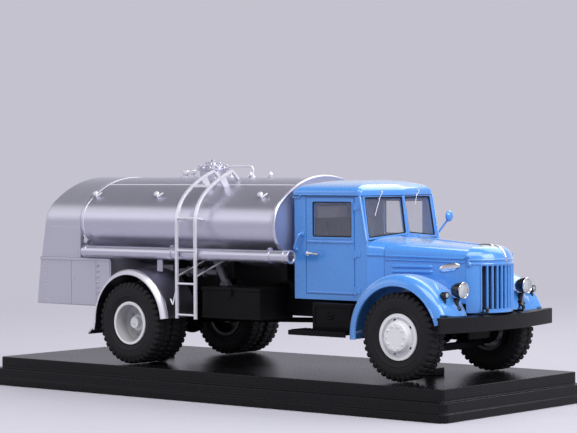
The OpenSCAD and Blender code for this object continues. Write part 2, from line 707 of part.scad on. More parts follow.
module tank() color("#b9bcc0") truck() tank_prism(shroud_x + fine, tank_front_x - 1.6, 0);

// Front band and domed end of the tank.
module tank_end() color("#c6c9cd") truck() {
    r = (pow(tank_a, 2) + pow(dome_h, 2)) / (2 * dome_h);
    tank_prism(tank_front_x - 1.55, tank_front_x, 0.5);
    intersection() {
        tank_prism(tank_front_x - 1, tank_front_x + dome_h + 1, 0);
        translate([tank_front_x + dome_h - r, 0, tank_z]) sphere(r, $fn = 256);
    }
}

// Leaning cut behind the shroud and lockers.
module rear_cut(x, z) {
    translate([x, 0, z]) rotate([0, rear_lean, 0]) translate([-60, -100, -100]) cube([60, 200, 200]);
}

module rear_shroud() color("#b4b7bb") truck() difference() {
    union() {
        intersection() {
            tank_prism(rear_end_x, shroud_x, 0.15);
            box([-300, -60, tank_z - 0.2], [0, 60, 90]);
        }
        box([rear_end_x, -tank_a - 0.15, shelf_z + 0.4], [shroud_x, tank_a + 0.15, tank_z]);
    }
    rear_cut(rear_end_x + 1.9, shelf_z);
}

// Lockers below the shelf, cut clear of the wheels, frame and tank.
module rear_lockers() color("#b4b7bb") truck() difference() {
    union() {
        box([rear_end_x, -tank_a, locker_z], [locker_x, tank_a, shelf_z]);
        box([rear_end_x + 1, -tank_a - 0.6, shelf_z - 0.5], [locker_x, tank_a + 0.6, shelf_z + 0.35]);
    }
    translate([rear_x, 60, wheel_z]) rotate([90, 0, 0]) cylinder(h = 120, r = rear_wing_r + 0.2, $fn = 128);
    box([-300, -rail_out - 0.2, 0], [0, rail_out + 0.2, rail_top + 0.3]);
    tank_prism(shroud_x - fine, 0);
    translate([rear_end_x, 0, locker_z]) rotate([0, rear_lean - 3, 0]) translate([-60, -100, -100]) cube([60, 200, 200]);
}

// Filler collar with clamped lid.
module hatch() color("#c4c7cb") truck() translate([hatch_x, 0, 0]) difference() {
    steps = [[hatch_r, -1, 2.6], [hatch_r + 0.9, 2.4, 3], [hatch_r + 0.1, 2.8, 3.6], [1.3, 3.4, 4.8], [0.55, 4.6, 5.8]];
    for (s = steps) translate([0, 0, tank_top + s[1]]) cylinder(h = s[2] - s[1], r = s[0]);
    tank_prism(-20, 20, 0.03);
}

// Breather valve and hand hoop on the tank's top.
module tank_fittings() color("#c4c7cb") truck() difference() {
    hoop = [hatch_x + 7.9, hatch_x + 17.4];
    union() {
        translate([hatch_x - 10.8, 0, tank_top - 1]) cylinder(h = 2.6, r = 1.6);
        translate([hatch_x - 10.8, 0, tank_top + 1]) cylinder(h = 1.2, r = 1);
        bent_rod([[hoop[0], 0, tank_top - 1], [hoop[0], 0, tank_top + 3.6], [hoop[1], 0, tank_top + 3.6],
            [hoop[1], 0, tank_top - 1]], 0.5);
    }
    tank_prism(-200, 20, 0.03);
}

// Arc of a ladder rail between two angles up from the outer side.
module rail_arc(r, a0, a1) {
    reach = 2 * r;
    intersection() {
        difference() {
            circle(r + 0.5, $fn = 160);
            circle(r - 0.5, $fn = 160);
        }
        polygon([[0, 0], [-reach * cos(a0), reach * sin(a0)], [-reach * cos(a1), reach * sin(a1)]]);
    }
}

// Ladder on the right, bent over the tank's shoulder.
module ladder() color("#c9ccd0") truck() {
    y = tank_a + ladder_off;
    side = tank_side_r + ladder_off;
    over = tank_big_r + ladder_off;
    top = 73;
    upright_rungs = [16.6, 26.4, 36.8];
    side_rungs = [9, 38];
    for (s = [-1, 1]) translate([ladder_x + s * ladder_w / 2, 0, 0]) {
        along_x(-0.55, 0.55) {
            translate([-y - 0.5, 15.4]) square([1, tank_z - 15.4]);
            translate([-tank_c, tank_z]) rail_arc(side, 0, tank_turn);
            translate([0, tank_z - tank_k]) rail_arc(over, tank_turn, top);
        }
        rod([0, -over * cos(top + 0.6), tank_z - tank_k + over * sin(top - 0.6)],
            [0, 3.2 - over * cos(top), tank_top - 0.6], 0.4);
    }
    rungs = concat([for (z = upright_rungs) [-y, z]],
        [for (a = side_rungs) [-tank_c - side * cos(a), tank_z + side * sin(a)]],
        [[-over * cos(56), tank_z - tank_k + over * sin(56)]]);
    for (r = rungs) rod([ladder_x - ladder_w / 2, r[0], r[1]], [ladder_x + ladder_w / 2, r[0], r[1]], 0.42);
}

// Hose tube along each side, with clamps that stand on the tank.
module hose_tubes() color("#c2c5c9") truck() both() {
    front = cab_back_x + 5;
    back = shroud_x + 2.8;
    difference() {
        union() {
            translate([back, -hose_y, hose_z]) rotate([0, 90, 0]) cylinder(h = front - back, r = hose_r);
            for (x = [rear_x + 12, rear_x + 54]) {
                translate([x - 0.7, -hose_y, hose_z]) rotate([0, 90, 0]) cylinder(h = 1.4, r = hose_r + 0.03);
                box([x - 0.7, -hose_y, hose_z - 0.8], [x + 0.7, -15, hose_z + 0.8]);
            }
        }
        tank_prism(shroud_x - 1, 0);
        translate([front - 4, -hose_y, hose_z]) rotate([0, 90, 0]) cylinder(h = 6, r = hose_r - 0.45);
    }
}

// Rear wings over the twin wheels with their stays.
module rear_wings() color("#b9bcc0") truck() both() {
    inner = twin_in - tyre_w / 2 - 0.6;
    translate([rear_x, 0, wheel_z]) rotate([90, 0, 0]) rotate([0, 0, 7]) rotate_extrude(angle = 183, $fn = 128) {
        translate([rear_wing_r, 0]) polygon([[-0.7, inner], [0, inner], [0, rear_wing_half - 1.1], [-1.1, rear_wing_half],
            [-1.6, rear_wing_half], [-1.6, rear_wing_half - 0.45], [-0.7, rear_wing_half - 1.35]]);
    }
    box([rear_x - 1, -inner - 0.3, wheel_z + 6.6], [rear_x + 1, -inner + 0.1, wheel_z + rear_wing_r - 0.2]);
    box([rear_x - 1, -inner, wheel_z + 6.6], [rear_x + 1, -rail_out - fine, wheel_z + 7.6]);
}

module tank_saddles() color("#1c1d20") truck() difference() {
    for (x = [rear_x + 6, rear_x + 30, rear_x + 52]) {
        box([x - 1.3, -rail_out, rail_top + 0.02], [x + 1.3, rail_out, tank_z - tank_b + 3]);
        box([x - 1.3, -14, tank_z - tank_b - 3], [x + 1.3, 14, tank_z - tank_b + 6]);
    }
    tank_prism(-200, 20);
}

// Suction pipe below the tank: a fall from the tank to the box below, and a level pipe into it.
module pump_pipes() color("#8c8f94") truck() both() {
    y = -15.4;
    z = tank_z - tank_b - 1;
    foot_x = rear_x + 28.9;
    difference() {
        union() {
            rod([foot_x, y, box_top + 0.9], [foot_x - 7, y, tank_z - 6], 1.1);
            rod([rear_x + 9.6, y, z], [rear_x + 26, y, z], 1.1);
        }
        tank_prism(-200, 20, 0.03);
    }
    translate([foot_x, y, box_top + fine]) cylinder(h = 1.3, r = 1.9);
    for (x = [rear_x + 13, rear_x + 20]) translate([x, y, z]) rotate([0, 90, 0]) cylinder(h = 0.8, r = 1.7);
}

module tail_lamps() color("#7a1414") truck() both() translate([rear_end_x - 0.02, -20, locker_z + 3.6])
    rotate([0, rear_lean - 3, 0]) rotate([0, -90, 0]) cylinder(h = 0.8, r = 1.3);

module front_tyre_right() color("#202022") wheel_at(0, front_half, -1) tyre();
module front_tyre_left() color("#202022") wheel_at(0, front_half, 1) tyre();
module front_wheel_right() color("#e3e4e2") wheel_at(0, front_half, -1) front_rim();
module front_wheel_left() color("#e3e4e2") wheel_at(0, front_half, 1) front_rim();
module rear_tyres_right() color("#202022") for (h = [twin_in, twin_out]) wheel_at(rear_x, h, -1) tyre();
module rear_tyres_left() color("#202022") for (h = [twin_in, twin_out]) wheel_at(rear_x, h, 1) tyre();
module rear_wheel_right() color("#e3e4e2") wheel_at(rear_x, twin_half, -1) twin_rim();
module rear_wheel_left() color("#e3e4e2") wheel_at(rear_x, twin_half, 1) twin_rim();

plinth();
plinth_posts();
frame_rails();
cross_members();
front_axle();
rear_axle();
leaf_springs();
driveline();
bumper();
tow_hooks();
side_boxes();
cab_steps();
cab_floor();
steering_wheel();
cab_side_right();
cab_side_left();
cab_back();
cab_front();
cab_roof();
cab_glass();
bonnet();
radiator_shell();
radiator_core();
bonnet_trim();
front_wing_right();
front_wing_left();
lamps();
lamp_lenses();
mirror_arm();
grab_handles();
tank();
tank_end();
rear_shroud();
rear_lockers();
hatch();
tank_fittings();
ladder();
hose_tubes();
rear_wings();
tank_saddles();
pump_pipes();
tail_lamps();
front_tyre_right();
front_tyre_left();
front_wheel_right();
front_wheel_left();
rear_tyres_right();
rear_tyres_left();
rear_wheel_right();
rear_wheel_left();
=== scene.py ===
import json
from math import acos, asin, atan2, ceil, copysign, cos, degrees, hypot, pi, radians, sin, sqrt, tan

import bmesh
import bpy
from bpy.props import FloatProperty, FloatVectorProperty, IntProperty, PointerProperty
from mathutils import Matrix, Vector


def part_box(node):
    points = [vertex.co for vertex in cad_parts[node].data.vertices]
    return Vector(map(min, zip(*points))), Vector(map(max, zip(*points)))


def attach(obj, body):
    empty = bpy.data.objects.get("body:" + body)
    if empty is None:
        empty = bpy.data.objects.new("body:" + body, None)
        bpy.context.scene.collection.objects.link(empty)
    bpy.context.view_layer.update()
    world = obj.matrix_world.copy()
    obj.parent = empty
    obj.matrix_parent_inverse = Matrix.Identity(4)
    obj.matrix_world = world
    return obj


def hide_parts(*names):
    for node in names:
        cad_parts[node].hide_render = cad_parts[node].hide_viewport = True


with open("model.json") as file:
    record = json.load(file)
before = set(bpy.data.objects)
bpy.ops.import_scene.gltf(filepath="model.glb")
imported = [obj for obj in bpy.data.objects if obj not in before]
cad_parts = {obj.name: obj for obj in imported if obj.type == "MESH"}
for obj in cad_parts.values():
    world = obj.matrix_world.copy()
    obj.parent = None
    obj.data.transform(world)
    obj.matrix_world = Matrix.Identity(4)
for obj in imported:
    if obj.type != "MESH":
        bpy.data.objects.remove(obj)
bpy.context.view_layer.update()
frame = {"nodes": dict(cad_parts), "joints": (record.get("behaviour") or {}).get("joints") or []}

bl_info = {
    "name": "Model tanker lorry",
    "version": (1, 0, 0),
    "blender": (4, 5, 0),
    "location": "3D View > Sidebar > Tanker",
    "description": "Dresses the packed solids of a bonneted tanker lorry on its plinth",
    "category": "Object",
}

MM = 0.001
FORWARD, BACKWARD, RIGHT, LEFT, UP = (1, 0, 0), (-1, 0, 0), (0, -1, 0), (0, 1, 0), (0, 0, 1)
SIDES = (("right", -1), ("left", 1))

# Places and sizes are given in millimetres from the front axle's middle, on the plinth's top.
JOINT_AT = {j["name"]: Vector(j["pos_m"]) for j in frame["joints"]}
FRONT_AXLE, REAR_AXLE = JOINT_AT["front_right_roll"], JOINT_AT["rear_right_roll"]
ORIGIN = Vector((FRONT_AXLE.x, 0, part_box("plinth")[1].z))
TO_ROW = Matrix.Translation(ORIGIN) @ Matrix.Scale(MM, 4)
TO_LORRY = TO_ROW.inverted()


def reach(node):
    """Lowest and highest corner of a solid, in millimetres of the lorry."""
    lo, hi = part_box(node)
    return TO_LORRY @ lo, TO_LORRY @ hi


WHEEL_Z = (TO_LORRY @ FRONT_AXLE).z
REAR_X = (TO_LORRY @ REAR_AXLE).x
FRONT_HALF = -FRONT_AXLE.y / MM
TWIN_HALF = -REAR_AXLE.y / MM
TWIN_PITCH = 7.6
TYRE_R = WHEEL_Z - reach("front_tyre_right")[0].z
TYRE_HALF = 3.45
RIM_R = 6.4

CAB_HALF = -reach("cab_side_right")[0].y
CAB_IN = CAB_HALF - 1.05
CAB_BACK = reach("cab_back")[0].x
FLOOR_Z = reach("cab_back")[0].z
EAVE_Z = reach("cab_back")[1].z
ROOF_TOP = reach("cab_roof")[1].z
SILL_Z = 41.6
SCUTTLE_X = -17.15
SCREEN_X, SCREEN_LEAN, SCREEN_SWEEP = -16.5, radians(9.1), radians(7.8)
# The windscreen frame on its slant: lower and upper end, and how its side keeps to the cab's wall.
SCREEN_FOOT, SCREEN_HEAD, SCREEN_DRIFT, SCREEN_COS = -2.6, 12.66, 0.0215, 0.9907
HINGES_Z = (50.9, 36.6, 25.6)
DOOR_HANDLE, GRAB_ENDS = (-40.2, 36.5), ((-42.3, 42.4), (-44.5, 37.6))
BONNET_X, SHELL_X = -12.0, 13.9
BONNET_REAR, BONNET_FRONT = 16.2, 10.75
CREASE_Z, NOSE_TOP, NOSE_Z = 36.0, 39.3, 19.95
NOSE_X, NOSE_R, NOSE_BEND = 8.5, 12.0, 4.2
BONNET_LEAN = atan2(BONNET_REAR - BONNET_FRONT, SHELL_X - BONNET_X)
WING_X, WING_ARCH, WING_CROWN, WING_HALF = -0.35, TYRE_R + 1.95, TYRE_R + 5.25, 26.5

TANK_A, TANK_B, TANK_SIDE, TANK_Z = 24.3, 14.5, 9.0, 45.0
TANK_C = TANK_A - TANK_SIDE
TANK_BIG = (TANK_C ** 2 + TANK_B ** 2 - TANK_SIDE ** 2) / (2 * (TANK_B - TANK_SIDE))
TANK_K = TANK_BIG - TANK_B
TANK_TURN = atan2(TANK_K, TANK_C)
TANK_TOP = TANK_Z + TANK_B
SEAM_Z, HOOK_Z, HOOKS_X = 57.3, 53.6, (-130.3, -102.4, -58.0)
TANK_FRONT = CAB_BACK - 2.4
SHROUD_X = REAR_X - 27.4
REAR_END = REAR_X - 48.2
SHELF_Z, LOCKER_Z = 33.0, 17.7
SHROUD_LEAN, LOCKER_LEAN = radians(10), radians(7)
HATCH_X, LADDER_X = REAR_X + 9.8, REAR_X + 23.45
HOSE_Y, HOSE_Z, HOSE_R = 25.35, 35.6, 1.9
REAR_WING_R, REAR_WING_A, REAR_WING_HALF = TYRE_R + 4.1, TYRE_R + 3.15, 30.3
HEADLAMP, MARKER, MIRROR = (17.1, -16.2, 26.9), (15.5, -22.1, 25.7), (-14.35, 20.5, 47.3)
PIPE_Y, LADDER_GAP = -15.4, 3.6


def linear(code):
    """Scene colour of a hexadecimal screen colour."""
    parts = [int(code[i:i + 2], 16) / 255 for i in (1, 3, 5)]
    return tuple(p / 12.92 if p <= 0.04045 else ((p + 0.055) / 1.055) ** 2.4 for p in parts)


def colour_property(name, description, code):
    return FloatVectorProperty(name=name, description=description, subtype="COLOR", size=3, min=0, max=1,
                               default=linear(code))


class TankerPaint(bpy.types.PropertyGroup):
    """Colours of the lorry and its plinth."""

    cab_blue: colour_property("Cab blue", "Paint of the cab, bonnet and front wings", "#488bd8")
    tank_silver: colour_property("Tank silver", "Paint of the tank and its fittings", "#c8c7d6")
    body_silver: colour_property("Body silver", "Paint of the shroud and lockers behind the tank", "#c8c7d4")
    rail_silver: colour_property("Rail silver", "Paint of the ladder, hooks and small fittings", "#dedde6")
    wheel_white: colour_property("Wheel white", "Paint of the wheel rims", "#e6e6ea")
    chassis_black: colour_property("Chassis black", "Paint of the frame, boxes and bumper", "#0e0d10")
    plinth_black: colour_property("Plinth black", "Moulding of the plinth", "#0c0b0e")
    tyre_black: colour_property("Tyre black", "Rubber of the tyres", "#19171b")
    inside_grey: colour_property("Inside grey", "Moulding of the bench and dashboard", "#5c5d72")
    seat_blue: colour_property("Seat blue", "Cover of the seat back", "#222c4a")
    lamp_red: colour_property("Lamp red", "Tail lamp lenses", "#a01418")


class TankerDetail(bpy.types.PropertyGroup):
    """Sizes of the small work on the lorry."""

    edge_round: FloatProperty(name="Edge rounding", description="Rounding of moulded edges", unit="LENGTH",
                              default=0.00014, min=0.00002, max=0.0004, precision=5)
    seam_width: FloatProperty(name="Seam width", description="Width of the seam strips on the tank", unit="LENGTH",
                              default=0.0005, min=0.0002, max=0.001, precision=5)
    rivet_radius: FloatProperty(name="Rivet radius", description="Radius of a rivet head", unit="LENGTH",
                                default=0.0003, min=0.0001, max=0.0006, precision=5)
    lug_count: IntProperty(name="Tyre lugs", description="Lugs on each shoulder of a tyre", default=40, min=20,
                           max=60)
    nut_count: IntProperty(name="Wheel nuts", description="Nuts on each wheel", default=10, min=5, max=12)
    hatch_bolts: IntProperty(name="Hatch bolts", description="Bolts round the filler lid", default=12, min=6,
                             max=24)
    grille_bars: IntProperty(name="Grille bars", description="Upright bars of the grille", default=9, min=5, max=15)


class TankerStage(bpy.types.PropertyGroup):
    """Floor, light and camera."""

    backdrop: colour_property("Backdrop", "Colour behind the lorry", "#c4c2ce")
    floor: colour_property("Floor", "Colour of the floor", "#b2b0ba")
    lamp_power: FloatProperty(name="Lamp power", description="Power of the large soft lamp", unit="POWER",
                              default=4.2, min=0.1, max=40)
    fill_power: FloatProperty(name="Fill power", description="Power of the lamp before the nose", unit="POWER",
                              default=4.6, min=0, max=40)
    back_power: FloatProperty(name="Back power", description="Power of the lamp behind and above the lorry",
                              unit="POWER", default=5.0, min=0, max=40)
    band_power: FloatProperty(name="Band power", description="Power of the lamp that shines along the tank",
                              unit="POWER", default=1.0, min=0, max=40)
    ambient: FloatProperty(name="Ambient", description="Strength of the light from all round", default=0.5, min=0,
                           max=2)
    lens: FloatProperty(name="Lens", description="Focal length of the camera", unit="CAMERA", default=139.2, min=20,
                        max=300)
    yaw: FloatProperty(name="Yaw", description="Turn of the camera round the lorry", subtype="ANGLE",
                       default=radians(40.484))
    pitch: FloatProperty(name="Pitch", description="How far the camera looks down", subtype="ANGLE",
                         default=radians(1.347))
    roll: FloatProperty(name="Roll", description="Tilt of the picture", subtype="ANGLE", default=radians(-0.346))
    camera_at: FloatVectorProperty(name="Camera", description="Place of the camera", subtype="XYZ", unit="LENGTH",
                                   size=3, default=(0.46536, -0.53828, 0.07274), precision=5)


def paint():
    return bpy.context.scene.tanker_paint


def detail():
    return bpy.context.scene.tanker_detail


class Val:
    """A node socket that takes part in plain arithmetic."""

    def __init__(self, kit, socket):
        self.kit = kit
        self.socket = socket

    def _math(self, operation, first, second=0.0):
        return self.kit.value("ShaderNodeMath", {"operation": operation}, {0: first, 1: second})

    def __add__(self, other):
        return self._math("ADD", self, other)

    def __radd__(self, other):
        return self._math("ADD", other, self)

    def __sub__(self, other):
        return self._math("SUBTRACT", self, other)

    def __rsub__(self, other):
        return self._math("SUBTRACT", other, self)

    def __mul__(self, other):
        return self._math("MULTIPLY", self, other)

    def __rmul__(self, other):
        return self._math("MULTIPLY", other, self)

    def __truediv__(self, other):
        return self._math("DIVIDE", self, other)

    def __rtruediv__(self, other):
        return self._math("DIVIDE", other, self)

    def wave(self, operation):
        """Sine or cosine of the value."""
        return self._math(operation, self)

    def over(self, low, high):
        """Smooth rise from zero at low to one at high."""
        return self.kit.value("ShaderNodeMapRange", {"interpolation_type": "SMOOTHSTEP"},
                              {"Value": self, "From Min": low, "From Max": high})


class NodeKit:
    """Adds nodes to one tree."""

    def __init__(self, tree):
        self.tree = tree

    def node(self, kind, settings=None, sockets=None):
        """A node of a kind: its settings first, then the values or links of its sockets."""
        made = self.tree.nodes.new(kind)
        for key, value in (settings or {}).items():
            setattr(made, key, value)
        for key, value in (sockets or {}).items():
            self.feed(made.inputs[key], value)
        return made

    def feed(self, socket, value):
        if isinstance(value, Val):
            value = value.socket
        if isinstance(value, bpy.types.NodeSocket):
            self.tree.links.new(value, socket)
        else:
            socket.default_value = value

    def value(self, kind, settings=None, sockets=None, out=0):
        return Val(self, self.node(kind, settings, sockets).outputs[out])

    def mix(self, factor, low, high):
        """Colour between two colours."""
        made = self.node("ShaderNodeMix", {"data_type": "RGBA"}, {0: factor, 6: low, 7: high})
        return made.outputs[2]


class Finish(NodeKit):
    """One material: a principled surface and the nodes that feed it."""

    def __init__(self, name, **constants):
        self.material = bpy.data.materials.new(name)
        self.material.use_nodes = True
        super().__init__(self.material.node_tree)
        self.tree.nodes.clear()
        self.surface = self.node("ShaderNodeBsdfPrincipled", None, constants)
        self.out = self.node("ShaderNodeOutputMaterial", None, {"Surface": self.surface.outputs[0]})
        self.place = self.node("ShaderNodeTexCoord").outputs["Object"]

    def noise(self, scale, detail_level=2.0, roughness=0.5, stretch=None):
        """Cloud of values round a half; a stretch squeezes it along the axes."""
        place = self.place
        if stretch:
            place = self.node("ShaderNodeMapping", None, {"Vector": place, "Scale": stretch}).outputs[0]
        return self.value("ShaderNodeTexNoise", None, {"Vector": place, "Scale": scale, "Detail": detail_level,
                                                       "Roughness": roughness})

    def radius(self, centre):
        """Distance from a wheel's axle, in metres."""
        moved = self.node("ShaderNodeVectorMath", {"operation": "SUBTRACT"}, {0: self.place, 1: centre})
        flat = self.node("ShaderNodeVectorMath", {"operation": "MULTIPLY"}, {0: moved.outputs[0], 1: (1, 0, 1)})
        return self.value("ShaderNodeVectorMath", {"operation": "LENGTH"}, {0: flat.outputs[0]}, out="Value")

    def shade(self, factor, deep, light):
        self.feed(self.surface.inputs["Base Color"], self.mix(factor, deep, light))

    def rough(self, value):
        self.feed(self.surface.inputs["Roughness"], value)

    def bump(self, height, strength, distance):
        made = self.node("ShaderNodeBump", None, {"Strength": strength, "Distance": distance, "Height": height})
        self.feed(self.surface.inputs["Normal"], made.outputs["Normal"])


def tone(colour, factor):
    """Colour made lighter or darker, as a socket value."""
    return tuple(min(1.0, c * factor) for c in colour) + (1.0,)


def cab_blue():
    kit = Finish("cab_blue_paint", **{"Coat Weight": 1.0, "Coat Roughness": 0.04, "IOR": 1.5})
    cloud, peel = kit.noise(38, 3), kit.noise(2600, 2)
    blue = kit.mix(cloud * 0.7 + peel * 0.3, tone(paint().cab_blue, 0.94), tone(paint().cab_blue, 1.06))
    # Painted sheen: Layer Weight turns the base colour pale blue where the paint is seen edge-on.
    edge = kit.value("ShaderNodeLayerWeight", None, {"Blend": 0.5}, out="Facing")
    kit.shade(0.8 * edge.over(0.55, 0.97), blue, (0.55, 0.7, 0.92, 1))
    kit.rough(0.24 + 0.08 * peel)
    kit.bump(peel, 0.02, 0.0001)
    return kit.material


def silver(name, colour, metal, rough):
    kit = Finish(name, **{"Metallic": metal})
    cloud, flake = kit.noise(30, 3), kit.noise(7000, 1, 0.7)
    kit.shade(flake * 0.75 + cloud * 0.25, tone(colour, 0.88), tone(colour, 1.08))
    kit.rough(rough - 0.04 + 0.08 * flake)
    kit.bump(flake, 0.05, 0.00005)
    return kit.material


def bright_trim():
    kit = Finish("bright_trim_plating", Metallic=1.0)
    cloud = kit.noise(220, 2)
    kit.shade(cloud, (0.74, 0.75, 0.78, 1), (0.86, 0.87, 0.9, 1))
    kit.rough(0.12 + 0.1 * cloud)
    return kit.material


def wheel_paint(name, axle, back, dish_shade):
    """Rim paint with painted shade: near black behind the wheel, towards the lorry's middle, and a darker tone
    where dish_shade marks the deep middle of a rim.
    """
    kit = Finish(name, **{"Coat Weight": 0.15, "Coat Roughness": 0.2})
    cloud, fine = kit.noise(160, 3), kit.noise(3200, 2)
    r = kit.radius((axle.x, 0, axle.z)) / MM
    side = kit.node("ShaderNodeSeparateXYZ", None, {0: kit.place}).outputs[1]
    out = kit.value("ShaderNodeMath", {"operation": "ABSOLUTE"}, {0: side}) / MM
    white = kit.mix(cloud * 0.6 + fine * 0.4, tone(paint().wheel_white, 0.88), tone(paint().wheel_white, 1.0))
    # Painted shade: a darker tone of the white across the deep middle of the rear rims.
    dish_shade_mask = dish_shade * r.over(2.5, 3.1) * (1 - r.over(5.9, 6.3))
    white = kit.mix(dish_shade_mask, white, tone(paint().wheel_white, 0.55))
    # Painted shade: near black on the rim's inner part, towards the lorry's middle.
    kit.shade(1 - out.over(back - 0.5, back), white, tone(paint().chassis_black, 2.0))
    kit.rough(0.36 + 0.12 * fine)
    kit.bump(fine, 0.04, 0.00008)
    return kit.material


def satin(name, colour, rough, grain, gloss):
    kit = Finish(name, **{"Specular IOR Level": gloss})
    cloud, fine = kit.noise(60, 3), kit.noise(grain, 2)
    kit.shade(cloud * 0.4 + fine * 0.6, tone(colour, 0.7), tone(colour, 1.35))
    kit.rough(rough - 0.06 + 0.14 * fine)
    kit.bump(fine, 0.12, 0.00006)
    return kit.material


def radiator_black():
    kit = Finish("radiator_black_core")
    fins = kit.noise(900, 1, 0.5, (1, 3, 0.3))
    kit.shade(fins, (0.004, 0.01, 0.035, 1), (0.012, 0.035, 0.11, 1))
    kit.rough(0.55 + 0.2 * fins)
    return kit.material


def plinth_black():
    kit = Finish("plinth_black_moulding", **{"IOR": 1.5, "Specular IOR Level": 0.2})
    cloud, fine, specks = kit.noise(24, 3), kit.noise(1900, 3), kit.noise(2900, 1)
    dust = specks.over(0.72, 0.8)
    kit.shade(cloud * 0.5 + dust * 0.5, tone(paint().plinth_black, 0.75), tone(paint().plinth_black, 1.9))
    kit.rough(0.2 + 0.08 * cloud + 0.06 * fine)
    kit.bump(fine, 0.05, 0.00005)
    return kit.material


def tyre_rubber(name, axle_x):
    kit = Finish(name, **{"Specular IOR Level": 0.3})
    r = kit.radius((axle_x, 0, FRONT_AXLE.z)) / MM
    fine = kit.noise(2600, 3)
    rings = (r * 7.5).wave("SINE").over(0.55, 1.0) * r.over(7.6, 7.9) * (1 - r.over(9.4, 9.7))
    worn = r.over(TYRE_R - 0.45, TYRE_R)
    kit.shade(fine * 0.55 + worn * 0.35 + rings * 0.25, tone(paint().tyre_black, 0.72),
              tone(paint().tyre_black, 1.5))
    kit.rough(0.6 + 0.2 * fine)
    kit.bump(fine * 0.4 + rings, 0.25, 0.0001)
    return kit.material


def cab_clear():
    kit = Finish("cab_clear_pane", **{"IOR": 1.45, "Specular IOR Level": 0.6})
    smear = kit.noise(120, 4, 0.6)
    kit.shade(smear, (0.36, 0.37, 0.45, 1), (0.44, 0.45, 0.53, 1))
    kit.rough(0.05 + 0.06 * smear)
    kit.feed(kit.surface.inputs["Alpha"], 0.1 + 0.1 * smear)
    return kit.material


def lamp_clear():
    kit = Finish("lamp_clear_lens", **{"IOR": 1.45, "Coat Weight": 0.6, "Coat Roughness": 0.05})
    flutes = kit.noise(500, 1, 0.5, (1, 6, 0.6))
    kit.shade(flutes, (0.55, 0.58, 0.62, 1), (0.8, 0.83, 0.86, 1))
    kit.rough(0.08 + 0.1 * flutes)
    kit.feed(kit.surface.inputs["Alpha"], 0.35 + 0.25 * flutes)
    kit.bump(flutes, 0.3, 0.0002)
    return kit.material


def lamp_red():
    kit = Finish("lamp_red_lens", **{"Coat Weight": 0.7, "Coat Roughness": 0.06})
    facets = kit.noise(1500, 1)
    kit.shade(facets, tone(paint().lamp_red, 0.7), tone(paint().lamp_red, 1.2))
    kit.rough(0.14 + 0.1 * facets)
    kit.bump(facets, 0.2, 0.0001)
    return kit.material


# Recipe of each finish, by the name that the pieces use.
RECIPES = {
    "cab_blue": cab_blue, "bright_trim": bright_trim, "radiator_black": radiator_black,
    "plinth_black": plinth_black, "cab_clear": cab_clear, "lamp_clear": lamp_clear, "lamp_red": lamp_red,
    "tank_silver": lambda: silver("tank_silver_paint", paint().tank_silver, 0.85, 0.33),
    "body_silver": lambda: silver("body_silver_paint", paint().body_silver, 0.8, 0.38),
    "wing_silver": lambda: silver("wing_silver_paint", paint().body_silver, 1.0, 0.3),
    "rail_silver": lambda: silver("rail_silver_paint", paint().rail_silver, 0.4, 0.34),
    "pipe_grey": lambda: silver("pipe_grey_paint", tuple(c * 0.2 for c in paint().tank_silver), 0.5, 0.42),
    "wheel_front": lambda: wheel_paint("wheel_white_front", FRONT_AXLE, FRONT_HALF - 1, 0.0),
    "wheel_rear": lambda: wheel_paint("wheel_white_rear", REAR_AXLE, TWIN_HALF + 1, 1.0),
    "chassis_black": lambda: satin("chassis_black_paint", paint().chassis_black, 0.5, 2400, 0.1),
    "bumper_black": lambda: satin("bumper_black_paint", paint().chassis_black, 0.4, 2400, 0.22),
    "lamp_black": lambda: satin("lamp_black_gloss", paint().chassis_black, 0.22, 1600, 0.5),
    "seal_black": lambda: satin("seal_black_rubber", paint().tyre_black, 0.6, 3000, 0.25),
    "inside_grey": lambda: satin("inside_grey_moulding", paint().inside_grey, 0.58, 1500, 0.5),
    "seat_blue": lambda: satin("seat_blue_cover", paint().seat_blue, 0.6, 1500, 0.3),
    "tyre_front": lambda: tyre_rubber("tyre_black_front", FRONT_AXLE.x),
    "tyre_rear": lambda: tyre_rubber("tyre_black_rear", REAR_AXLE.x),
}
MADE = {}


def finish(name):
    """Material by the name of its recipe, made once."""
    if name not in MADE:
        MADE[name] = RECIPES[name]()
    return MADE[name]


